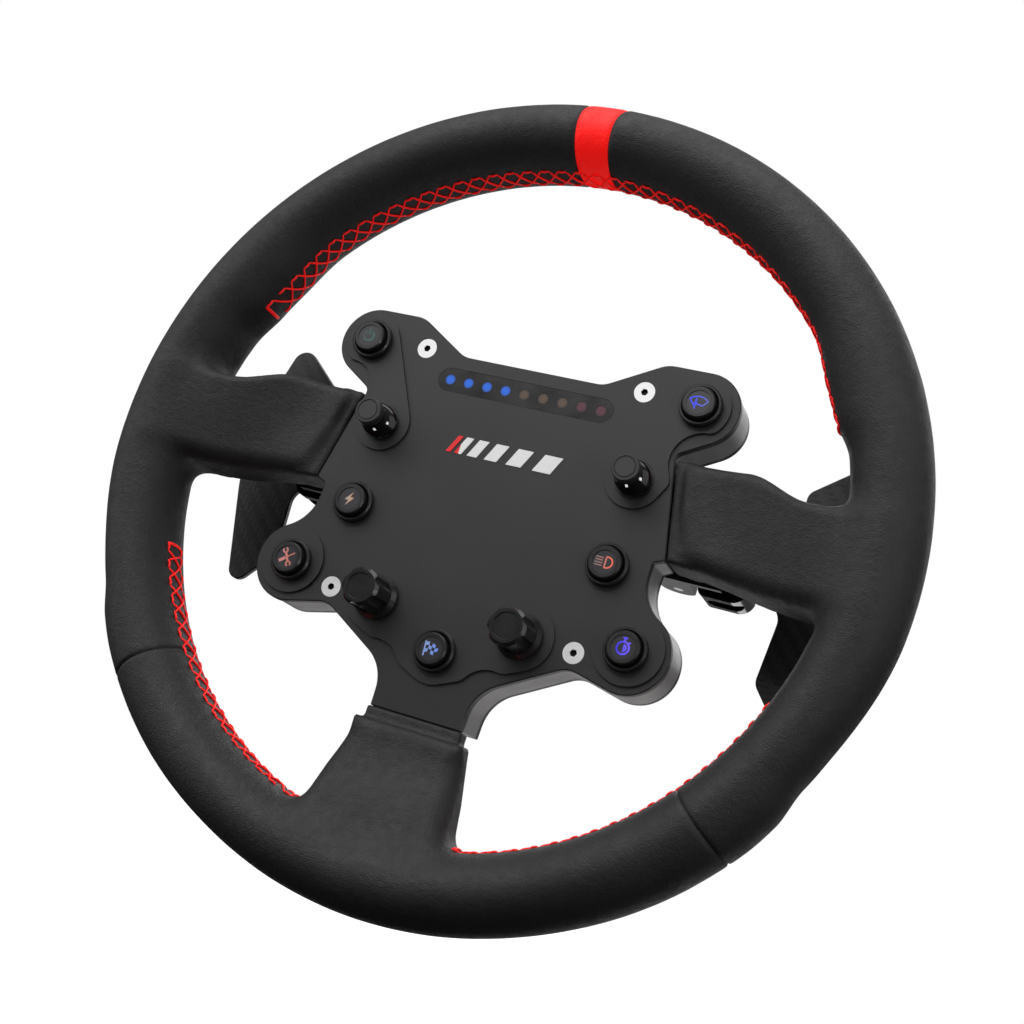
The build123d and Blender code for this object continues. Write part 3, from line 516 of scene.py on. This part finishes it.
# Angle of each seam, with its depth and width in millimetres
SEAMS = (
    (90 - HALF_STRIPE, 0.7, 1.3), (90 + HALF_STRIPE, 0.7, 1.3),
    (LOWER_LEFT_SEAM, 0.8, 1.0), (LOWER_RIGHT_SEAM, 0.8, 1.0),
)
# Waves of the stretched leather, and the places of the folds on the right spoke, mirrored on the left
WAVE_HEIGHT = 0.07
FOLD_DEPTH = 0.28
FOLD_PLACES = ((126.0, 26.0), (124.0, -20.0))

# Outlines of the flat welts beside the box and of the lower spoke's pad, and the side pad's edge at the box
SIDE_WELT = ((67.1, 28.9), (76.0, 28.9), (84.3, -9.8), (74.9, -9.6))
SIDE_PAD_EDGE = ((70.4, 29.8), (77.9, -9.5))
LOWER_WELT = ((-20.0, -97.5), (-20.0, -90.1), (20.0, -90.1), (20.0, -97.5))
LOWER_PAD = ((-31.0, -147.0), (-28.0, -123.3), (-26.9, -115.3), (-23.6, -99.4), (-22.8, -95.0),
             (22.8, -95.0), (23.6, -99.4), (26.9, -115.3), (28.0, -123.3), (31.0, -147.0))


def smooth_step(value, start, end):
    """0 at start, 1 at end, eased between."""
    share = np.clip((value - start) / (end - start), 0, 1)
    return share * share * (3 - 2 * share)


def outline_distance(u, v, corners):
    """Signed distance to a closed outline, negative inside."""
    best = np.full(u.shape, 1e9, dtype=np.float32)
    inside = np.zeros(u.shape, dtype=bool)
    for (au, av), (bu, bv) in zip(corners, corners[1:] + corners[:1]):
        du, dv = bu - au, bv - av
        share = np.clip(((u - au) * du + (v - av) * dv) / (du * du + dv * dv), 0, 1)
        best = np.minimum(best, (u - au - share * du) ** 2 + (v - av - share * dv) ** 2)
        crosses = (av > v) != (bv > v)
        inside ^= crosses & (u < au + (v - av) * du / (dv if dv else 1e-9))
    return np.where(inside, -1, 1) * np.sqrt(best)


def rounded_slab(flat, w, back, front, radius):
    """Signed distance to an outline extruded between two heights, with rounded edges."""
    flat = flat + radius
    deep = np.abs(w - (front + back) / 2) - (front - back) / 2 + radius
    outside = np.hypot(np.maximum(flat, 0), np.maximum(deep, 0))
    return np.minimum(np.maximum(flat, deep), 0) + outside - radius


def smooth_union(first, second, reach):
    """Union of two fields with a soft fillet."""
    share = np.clip(0.5 + 0.5 * (second - first) / reach, 0, 1)
    return second * (1 - share) + first * share - reach * share * (1 - share)


def pillow(flat, w, back, front, back_radius, front_radius):
    """Signed distance to an outline extruded between two heights, rounded more on its front."""
    beyond = 30.0
    upper = rounded_slab(flat, w, back - beyond, front, front_radius)
    return np.maximum(upper, rounded_slab(flat, w, back, front + beyond, back_radius))


def side_pad_outline(u, v):
    """Signed distance to the right spoke's pad: narrower towards the rim, with soft corners at the box."""
    top = v - 28.6 + 7.8 * smooth_step(u, 96, 122)
    bottom = -9.8 - 5.6 * smooth_step(u, 78, 128) - v
    (start_u, start_v), (end_u, end_v) = SIDE_PAD_EDGE
    run, fall = end_u - start_u, start_v - end_v
    inner = ((start_u - u) * fall + (start_v - v) * run) / math.hypot(run, fall)
    edges = np.maximum(np.maximum(0.95 * top, bottom), u - RIM_RADIUS)
    return -smooth_union(-edges, -inner, 4.0)


def rim_field(points):
    """Signed distance, in millimetres, to the padded rim with its three spokes."""
    u, v, w = np.abs(points[..., 0]), points[..., 1], points[..., 2]
    radial = np.hypot(u, v) - RIM_RADIUS
    angle = np.degrees(np.arctan2(v, u))
    # Thumb rests above the side spokes, inside; below them a hollow outside, which ends in a slight bulge
    rest = REST_RISE * smooth_step(angle, 18, 25) * (1 - smooth_step(angle, 30, 41))
    hollow = HOLLOW_DEPTH * smooth_step(-angle, 6, 24) * (1 - smooth_step(-angle, 27.5, 33))
    bulge = BULGE_RISE * smooth_step(-angle, 30, 38) * (1 - smooth_step(-angle, 45, 70))
    half_width = RIM_HALF_WIDTH + np.where(radial > 0, bulge - hollow, rest)
    scaled = np.hypot(radial / half_width, w / RIM_HALF_DEPTH)
    slope = np.hypot(radial / half_width ** 2, w / RIM_HALF_DEPTH ** 2)
    rim = scaled * (scaled - 1) / np.maximum(slope, 1e-4)
    # The side spokes grow thicker towards the rim, first along their upper edge
    side_front = SPOKE_FRONT + SIDE_SPOKE_RISE * smooth_step(u + 0.45 * v, 90, 142)
    side_radius = 3.5 + 3.5 * smooth_step(-v, -12, 5)
    side = pillow(side_pad_outline(u, v), w, SIDE_SPOKE_BACK, side_front, 3.5, side_radius)
    lower_front = SPOKE_FRONT + 1.0 + LOWER_SPOKE_RISE * smooth_step(-v, 100, 136)
    lower_radius = 3.0 + 4.5 * smooth_step(-v, 94, 104)
    lower = pillow(outline_distance(u, v, LOWER_PAD), w, LOWER_SPOKE_BACK, lower_front, 2.5, lower_radius)
    body = np.minimum(smooth_union(rim, side, SPOKE_FILLET), smooth_union(rim, lower, SPOKE_FILLET))
    side_welt = rounded_slab(outline_distance(u, v, SIDE_WELT), w, SIDE_SPOKE_BACK + 1.0, WELT_FRONT, 1.2)
    lower_welt = rounded_slab(outline_distance(u, v, LOWER_WELT), w, LOWER_SPOKE_BACK, WELT_FRONT, 1.2)
    return smooth_union(body, np.minimum(side_welt, lower_welt), WELT_FILLET)


def field_gradient(points, step=0.05):
    """Gradient of the rim's field by central differences."""
    gradient = np.empty_like(points)
    for axis in range(3):
        shift = np.zeros(3)
        shift[axis] = step
        gradient[:, axis] = (rim_field(points + shift) - rim_field(points - shift)) / (2 * step)
    return gradient


def onto_surface(points, rounds=3):
    """Move points along the gradient onto the rim's surface."""
    for _ in range(rounds):
        gradient = field_gradient(points)
        scale = rim_field(points) / np.maximum((gradient ** 2).sum(axis=1), 1e-3)
        points = points - np.clip(scale, -2, 2)[:, None] * gradient
    return points


def surface_net(cell):
    """Points and quads on the rim's surface: one point in each grid cell that the surface crosses."""
    reach = RIM_RADIUS + RIM_HALF_WIDTH + 2 * cell
    depth = RIM_HALF_DEPTH + 2 * cell
    axes = [np.arange(-limit, limit + cell, cell) for limit in (reach, reach, depth)]
    grid = np.stack(np.meshgrid(*axes, indexing="ij"), axis=-1).astype(np.float32)
    inside = rim_field(grid) < 0
    count = np.zeros([size - 1 for size in inside.shape], dtype=np.uint8)
    for corner in np.ndindex(2, 2, 2):
        count += inside[tuple(slice(c, size - 1 + c) for c, size in zip(corner, inside.shape))]
    active = (count > 0) & (count < 8)
    index = np.full(active.shape, -1)
    index[active] = np.arange(active.sum())
    corners = np.argwhere(active)
    points = np.stack([axes[axis][corners[:, axis]] + cell / 2 for axis in range(3)], axis=-1)
    quads = []
    for axis in range(3):
        first, second = (axis + 1) % 3, (axis + 2) % 3
        low = [slice(None)] * 3
        high = [slice(None)] * 3
        low[axis], high[axis] = slice(0, -1), slice(1, None)
        change = inside[tuple(low)].astype(np.int8) - inside[tuple(high)].astype(np.int8)
        edges = np.argwhere(change)
        sign = change[tuple(edges.T)]
        ring = []
        for step_first, step_second in ((-1, -1), (0, -1), (0, 0), (-1, 0)):
            place = edges.copy()
            place[:, first] += step_first
            place[:, second] += step_second
            ring.append(index[tuple(place.T)])
        ring = np.stack(ring, axis=-1)
        ring[sign < 0] = ring[sign < 0][:, ::-1]
        quads.append(ring)
    return points, np.concatenate(quads)


def relax(points, quads, rounds=3):
    """Even out the mesh by moving each point towards its neighbours' mean, along the surface."""
    starts = np.concatenate([quads[:, side] for side in range(4)])
    ends = np.concatenate([quads[:, (side + 1) % 4] for side in range(4)])
    both = np.concatenate([starts, ends])
    others = np.concatenate([ends, starts])
    number = np.bincount(both, minlength=len(points))
    for _ in range(rounds):
        sums = [np.bincount(both, points[others, axis], len(points)) for axis in range(3)]
        mean = np.stack(sums, axis=-1) / number[:, None]
        points = onto_surface(0.4 * points + 0.6 * mean, 1)
    return points


def seam_groove(points):
    """Depth of the seams that cross the rim, in millimetres."""
    angle = np.degrees(np.arctan2(points[:, 1], points[:, 0])) % 360
    depth = np.zeros(len(points))
    for seam, deep, wide in SEAMS:
        gap = np.abs(angle - seam) * math.pi / 180 * RIM_RADIUS
        depth = np.maximum(depth, deep * np.exp(-(gap / (0.5 * wide)) ** 2))
    return depth


def unevenness(points):
    """Slow waves of hand-stretched leather, in millimetres, with folds where the spokes meet the rim."""
    waves = np.array([noise.fractal(Vector(point) / 22.0, 1.0, 2.0, 3) for point in points])
    across = np.abs(points[:, 0])
    near = np.zeros(len(points))
    for u, v in FOLD_PLACES:
        near = np.maximum(near, np.exp(-(np.hypot(across - u, points[:, 1] - v) / 13) ** 2))
    folds = np.zeros(len(points))
    for index in np.flatnonzero(near > 0.05):
        u, v, w = points[index]
        ridge = noise.noise(Vector((abs(u) / 5.0, v / 11.0, w / 16.0)))
        folds[index] = -max(0.0, 0.25 - abs(ridge)) * 4
    return WAVE_HEIGHT * waves + FOLD_DEPTH * near * folds


def rim_surface():
    """The whole leather surface as one mesh of quads, in the driver's view."""
    points, quads = surface_net(FIELD_CELL)
    points = onto_surface(points)
    points = relax(points, quads)
    mesh = bmesh.new()
    for point in points:
        mesh.verts.new(point)
    mesh.verts.ensure_lookup_table()
    for quad in quads:
        mesh.faces.new([mesh.verts[corner] for corner in quad])
    return mesh


def radial_cut(mesh, angle, removed=0):
    """Cut a mesh with the plane through the wheel's axis at an angle.

    With removed = 1 the half beyond that angle goes, with removed = -1 the half before it.
    """
    turn = math.radians(angle)
    normal = Vector((-math.sin(turn), math.cos(turn), 0)) * (removed or 1)
    everything = mesh.verts[:] + mesh.edges[:] + mesh.faces[:]
    bmesh.ops.bisect_plane(mesh, geom=everything, plane_co=(0, 0, 0), plane_no=normal,
                           clear_outer=removed != 0, dist=1e-5)


def sector_mesh(whole, start, end):
    """The part of the rim between two angles, open at its ends."""
    mesh = whole.copy()
    radial_cut(mesh, end, removed=1)
    radial_cut(mesh, start, removed=-1)
    return mesh


def leather_piece(name, whole, start, end, material, nodes):
    """One leather panel of the rim as a closed mesh."""
    mesh = sector_mesh(whole, start, end)
    places = np.array([vertex.co for vertex in mesh.verts])
    gradient = field_gradient(places)
    normal = gradient / np.linalg.norm(gradient, axis=1)[:, None]
    places += normal * (unevenness(places) - seam_groove(places))[:, None]
    for vertex, place in zip(mesh.verts, to_row(places)):
        vertex.co = place
    open_edges = [edge for edge in mesh.edges if edge.is_boundary]
    bmesh.ops.holes_fill(mesh, edges=open_edges, sides=0)
    for face in mesh.faces:
        face.smooth = True
    for edge in open_edges:
        edge.smooth = False
    bmesh.ops.recalc_face_normals(mesh, faces=mesh.faces)
    data = bpy.data.meshes.new(name)
    mesh.to_mesh(data)
    mesh.free()
    piece = bpy.data.objects.new(name, data)
    bpy.context.scene.collection.objects.link(piece)
    data.materials.append(MATERIALS[material])
    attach(piece, "root")
    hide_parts(*nodes)


def make_leather():
    """The four leather panels, with extra cuts in the mesh along both edges of each seam."""
    whole = rim_surface()
    for seam, _, _ in SEAMS:
        for side in (-1, 1):
            radial_cut(whole, seam + side * SEAM_EDGE)
    panels = (
        ("left_leather", 90 + HALF_STRIPE, LOWER_LEFT_SEAM, "black_leather", ("leather_left", "rim_foam")),
        ("lower_leather", LOWER_LEFT_SEAM, LOWER_RIGHT_SEAM, "black_leather", ("leather_lower",)),
        ("right_leather", LOWER_RIGHT_SEAM - 360, 90 - HALF_STRIPE, "black_leather", ("leather_right",)),
        ("top_stripe", 90 - HALF_STRIPE, 90 + HALF_STRIPE, "red_leather", ("centre_stripe",)),
    )
    for name, start, end, material, nodes in panels:
        leather_piece(name, whole, start, end, material, nodes)
    whole.free()


# --- Cross-stitching ---

STITCH_PITCH = 7.4
STITCH_LENGTH = 3.3
STITCH_HIGH = 4.5
STITCH_LOW = -6.0
THREAD_RADIUS = 0.43
STITCH_RUNS = ((23.5, 155.9), (202.3, 255.0), (-76.4, -21.7))


def inner_point(angle, height):
    """Point just inside the rim's inner side at a wheel angle and a height."""
    turn = np.radians(angle)
    radius = RIM_RADIUS - RIM_HALF_WIDTH * np.sqrt(1 - (height / RIM_HALF_DEPTH) ** 2)
    return np.stack([radius * np.cos(turn), radius * np.sin(turn), height], axis=-1)


def stitch_path(start, end, steps=7):
    """Thread between two places on the rim's inner side, bulging a little and dipping at its ends."""
    share = np.linspace(0, 1, steps)
    angle = start[0] + share * (end[0] - start[0])
    height = start[1] + share * (end[1] - start[1])
    points = onto_surface(inner_point(angle, height))
    gradient = field_gradient(points)
    normal = gradient / np.linalg.norm(gradient, axis=1)[:, None]
    lift = THREAD_RADIUS * (1.6 * np.sin(share * math.pi) ** 0.5 - 0.7)
    return points + normal * lift[:, None]


def stitch_run(start, end):
    """Threads of one open stretch: two rows of dashes half a pitch apart, and long crossing threads."""
    radius = RIM_RADIUS - RIM_HALF_WIDTH
    count = int(math.radians(end - start) * radius / STITCH_PITCH)
    pitch = (end - start) / (count + 0.5)
    dash = math.degrees(STITCH_LENGTH / radius)
    upper = [start + index * pitch for index in range(count + 1)]
    lower = [start + (index + 0.5) * pitch for index in range(-1, count)]
    lower[0] = start
    paths = []
    for row, height in ((upper, STITCH_HIGH), (lower, STITCH_LOW)):
        paths += [stitch_path((place, height), (place + dash, height)) for place in row]
    for index, place in enumerate(upper):
        if index + 2 < len(lower):
            paths.append(stitch_path((place + dash, STITCH_HIGH), (lower[index + 2], STITCH_LOW)))
        if index >= 1:
            paths.append(stitch_path((place, STITCH_HIGH), (lower[index - 1] + dash, STITCH_LOW)))
    # Bar tacks at both ends
    for place, turn in ((start, dash), (end, -dash)):
        for share in (0.0, 0.15):
            tack = place + share * turn
            paths.append(stitch_path((tack, STITCH_HIGH), (tack, STITCH_LOW)))
    return paths


def make_stitches():
    """The red thread along each open stretch of the rim."""
    paths = [path for start, end in STITCH_RUNS for path in stitch_run(start, end)]
    points, faces = join_meshes([tube_mesh(path, THREAD_RADIUS) for path in paths])
    threads = new_piece("cross_stitching", points, faces, "thread", "root")


# --- Lit symbols on the buttons ---

SYMBOL_LIFT = 0.05
SYMBOL_THICKNESS = 0.12
SYMBOL_SCALE = 1.15


def prism(outline, base):
    """Thin closed plate from a closed outline in the button's plane."""
    count = len(outline)
    points = [(u, v, base) for u, v in outline] + [(u, v, base + SYMBOL_THICKNESS) for u, v in outline]
    faces = [tuple(range(count))[::-1], tuple(range(count, 2 * count))]
    faces += [(i, (i + 1) % count, (i + 1) % count + count, i + count) for i in range(count)]
    return points, faces


def stroke(path, width):
    """Outline of a line of constant width along an open path."""
    path = np.asarray(path, dtype=float)
    along = np.gradient(path, axis=0)
    along /= np.linalg.norm(along, axis=1)[:, None]
    side = np.stack([-along[:, 1], along[:, 0]], axis=1) * width / 2
    return [tuple(point) for point in np.concatenate([path + side, (path - side)[::-1]])]


def arc(u, v, radius, start, end, steps=24):
    """Points of an arc about a centre, between two angles in degrees."""
    turn = np.radians(np.linspace(start, end, steps))
    return [(u + radius * math.cos(t), v + radius * math.sin(t)) for t in turn]


def turned(outline, degrees):
    """Outline turned about the button's centre."""
    cos, sin = math.cos(math.radians(degrees)), math.sin(math.radians(degrees))
    return [(u * cos - v * sin, u * sin + v * cos) for u, v in outline]


def power_symbol():
    """Open ring with a bar."""
    return [stroke(arc(0, 0, 1.9, 125, 415), 0.45), stroke([(0, 0.5), (0, 2.6)], 0.45)]


def wiper_symbol():
    """Windscreen with its wiper."""
    top = arc(0, -2.6, 4.4, 45, 135)
    bottom = arc(0, -3.4, 2.5, 55, 125)
    sides = [stroke([top[0], bottom[0]], 0.4), stroke([top[-1], bottom[-1]], 0.4)]
    wiper = [stroke([(-0.9, -2.6), (-0.9, 1.0)], 0.45), stroke([(-1.5, -0.6), (-0.3, -0.6)], 0.4)]
    return [stroke(top, 0.4), stroke(bottom, 0.4)] + sides + wiper


def spark_symbol():
    """Lightning bolt."""
    return [[(0.9, 2.6), (-1.7, -0.5), (-0.2, -0.5), (-0.9, -2.6), (1.7, 0.6), (0.2, 0.6)]]


def headlight_symbol():
    """Lamp with its beams."""
    lamp = [(0.3, -1.8)] + arc(0.9, 0, 1.8, -90, 90) + [(0.3, 1.8)]
    beams = [stroke([(-3.2, height), (-0.6, height)], 0.36) for height in (-1.3, -0.45, 0.45, 1.3)]
    return [stroke(lamp, 0.5), stroke([(0.35, -1.9), (0.35, 1.9)], 0.5)] + beams


def tools_symbol():
    """Crossed spanner and screwdriver."""
    spanner = [stroke([(0, -1.9), (0, 1.9)], 0.8), stroke(arc(0, 2.5, 0.8, 120, 420, 12), 0.55)]
    spanner.append(stroke(arc(0, -2.5, 0.8, -60, 240, 12), 0.55))
    driver = [stroke([(0, -0.2), (0, 3.2)], 0.4), stroke([(0, -3.1), (0, -0.6)], 1.1)]
    return [turned(part, 30) for part in spanner] + [turned(part, -52) for part in driver]


def flag_symbol():
    """Waving flag in a chequered pattern."""
    side = 1.15
    squares = []
    for column in range(4):
        left = -2.0 + side * column
        wave, next_wave = (0.35 * math.sin(1.6 * edge) for edge in (column, column + 1))
        for row in range(column % 2, 3, 2):
            low, next_low = (-1.6 + side * row + rise for rise in (wave, next_wave))
            squares.append([(left, low), (left + side, next_low),
                            (left + side, next_low + side), (left, low + side)])
    return squares + [stroke([(-2.3, 2.2), (-1.9, -2.8)], 0.5)]


def stopwatch_symbol():
    """Stopwatch with half its face filled."""
    knobs = [stroke([(0, 2.0), (0, 3.0)], 0.7), stroke([(-0.8, 3.05), (0.8, 3.05)], 0.5)]
    knobs.append(stroke([(1.4, 1.4), (2.0, 2.0)], 0.5))
    filled = arc(0, -0.2, 1.3, -90, 90)
    return [stroke(arc(0, -0.2, 2.0, 0, 360, 36), 0.6), filled] + knobs


SYMBOLS = {
    "start": (power_symbol, "teal_light"), "wiper": (wiper_symbol, "blue_light"),
    "ignition": (spark_symbol, "amber_light"), "headlight": (headlight_symbol, "orange_light"),
    "tools": (tools_symbol, "pink_light"), "flag": (flag_symbol, "pale_light"),
    "timer": (stopwatch_symbol, "violet_light"),
}


def make_symbols():
    """The lit symbol in each button's lens."""
    for name, (draw, material) in SYMBOLS.items():
        u, v, w = centre_of(f"{name}_button_lens")
        parts = [prism(outline, SYMBOL_LIFT - SYMBOL_THICKNESS) for outline in draw()]
        points, faces = join_meshes(parts)
        points = points * (SYMBOL_SCALE, SYMBOL_SCALE, 1) + (u, v, w)
        symbol = new_piece(f"{name}_symbol", points, faces, material, f"{name}_button", False)


# --- Camera, light and floor ---

CAMERA_LENS = 54.86
CAMERA_PLACE = (236.0, -128.6, 534.5)
CAMERA_TARGET = (10.92, -5.02, 0.0)
CAMERA_ROLL = 18.575
WORLD_LIGHT = 0.32
FLOOR_HEIGHT = -290.0
FLOOR_REACH = 6000.0

# Each soft box: its name, its place and what it is aimed at, its two sides in metres, and its power
SOFT_BOXES = (
    ("key", (-350, 1000, 1000), (0, 0, 0), (1.5, 1.1), 17),
    ("left_fill", (-1100, 150, 500), (0, 0, 0), (0.8, 1.4), 5),
    ("right_fill", (1100, 300, 300), (0, 0, 0), (0.8, 1.2), 2.5),
    ("top_light", (0, 1100, 100), (0, 0, 0), (1.2, 0.5), 4),
    ("gap_fill", (0, -190, -320), (0, -60, -10), (0.5, 0.2), 0.3),
    ("right_glint", (800, -60, 620), (0, 0, 0), (0.12, 0.2), 1.6),
    ("low_glint", (-120, -800, 560), (0, 0, 0), (0.2, 0.12), 1.4),
    ("rear_light", (0, 500, -900), (0, 0, 0), (1.0, 0.8), 5),
)


def make_camera():
    """Camera at the driver's right and a little below, rolled to its left."""
    data = bpy.data.cameras.new("camera")
    data.lens = CAMERA_LENS
    data.clip_start = 0.01
    camera = bpy.data.objects.new("camera", data)
    place = Vector(to_row(CAMERA_PLACE))
    forward = (Vector(to_row(CAMERA_TARGET)) - place).normalized()
    level = forward.to_track_quat("-Z", "Y").to_matrix()
    rolled = level @ Matrix.Rotation(math.radians(CAMERA_ROLL), 3, "Z")
    camera.matrix_world = Matrix.Translation(place) @ rolled.to_4x4()
    bpy.context.scene.collection.objects.link(camera)
    bpy.context.scene.camera = camera


def area_light(name, place, target, size, power):
    """Soft box at a place of the driver's view, aimed at a target."""
    data = bpy.data.lights.new(name, "AREA")
    data.shape = "RECTANGLE"
    data.size, data.size_y = size
    data.energy = power
    light = bpy.data.objects.new(name, data)
    start = Vector(to_row(place))
    direction = Vector(to_row(target)) - start
    light.matrix_world = Matrix.Translation(start) @ direction.to_track_quat("-Z", "Y").to_matrix().to_4x4()
    bpy.context.scene.collection.objects.link(light)


def make_surroundings():
    """White behind the wheel, and a faint light that grows towards the top."""
    world = bpy.data.worlds.new("studio")
    bpy.context.scene.world = world
    world.use_nodes = True
    tree = world.node_tree
    tree.nodes.clear()
    output = tree.nodes.new("ShaderNodeOutputWorld")
    mix = tree.nodes.new("ShaderNodeMixShader")
    seen = add_node(tree, "ShaderNodeBackground", Color=(1, 1, 1, 1), Strength=1.0)
    lit = add_node(tree, "ShaderNodeBackground", Strength=WORLD_LIGHT)
    ray = tree.nodes.new("ShaderNodeLightPath")
    sky = tree.nodes.new("ShaderNodeTexCoord")
    height = tree.nodes.new("ShaderNodeSeparateXYZ")
    tree.links.new(sky.outputs["Generated"], height.inputs["Vector"])
    raised = math_node(tree, "MULTIPLY", math_node(tree, "ADD", height.outputs["Z"], 1.0), 0.5)
    shade = ramp(tree, raised, [(0.0, grey(0.03)), (0.5, grey(0.30)), (0.95, grey(1))])
    tree.links.new(shade, lit.inputs["Color"])
    tree.links.new(ray.outputs["Is Camera Ray"], mix.inputs[0])
    tree.links.new(lit.outputs[0], mix.inputs[1])
    tree.links.new(seen.outputs[0], mix.inputs[2])
    tree.links.new(mix.outputs[0], output.inputs[0])


def make_floor():
    """White floor below the wheel, which gives off light but doesn't light the wheel."""
    material, _, shader = new_material("pale_floor", grey(0.8), 0.9)
    give_light(shader, grey(1), 1.0)
    signs = ((-1, -1), (1, -1), (1, 1), (-1, 1))
    corners = [(FLOOR_REACH * right, FLOOR_HEIGHT, FLOOR_REACH * front) for right, front in signs]
    mesh = bpy.data.meshes.new("floor")
    mesh.from_pydata([tuple(point) for point in to_row(corners)], [], [(0, 1, 2, 3)])
    floor = bpy.data.objects.new("floor", mesh)
    mesh.materials.append(material)
    bpy.context.scene.collection.objects.link(floor)
    floor.visible_diffuse = False
    floor.visible_glossy = False


bpy.context.scene.view_settings.view_transform = "Standard"
make_camera()
make_surroundings()
for soft_box in SOFT_BOXES:
    area_light(*soft_box)
make_floor()
dress_cad_nodes()
make_leather()
make_stitches()
make_symbols()
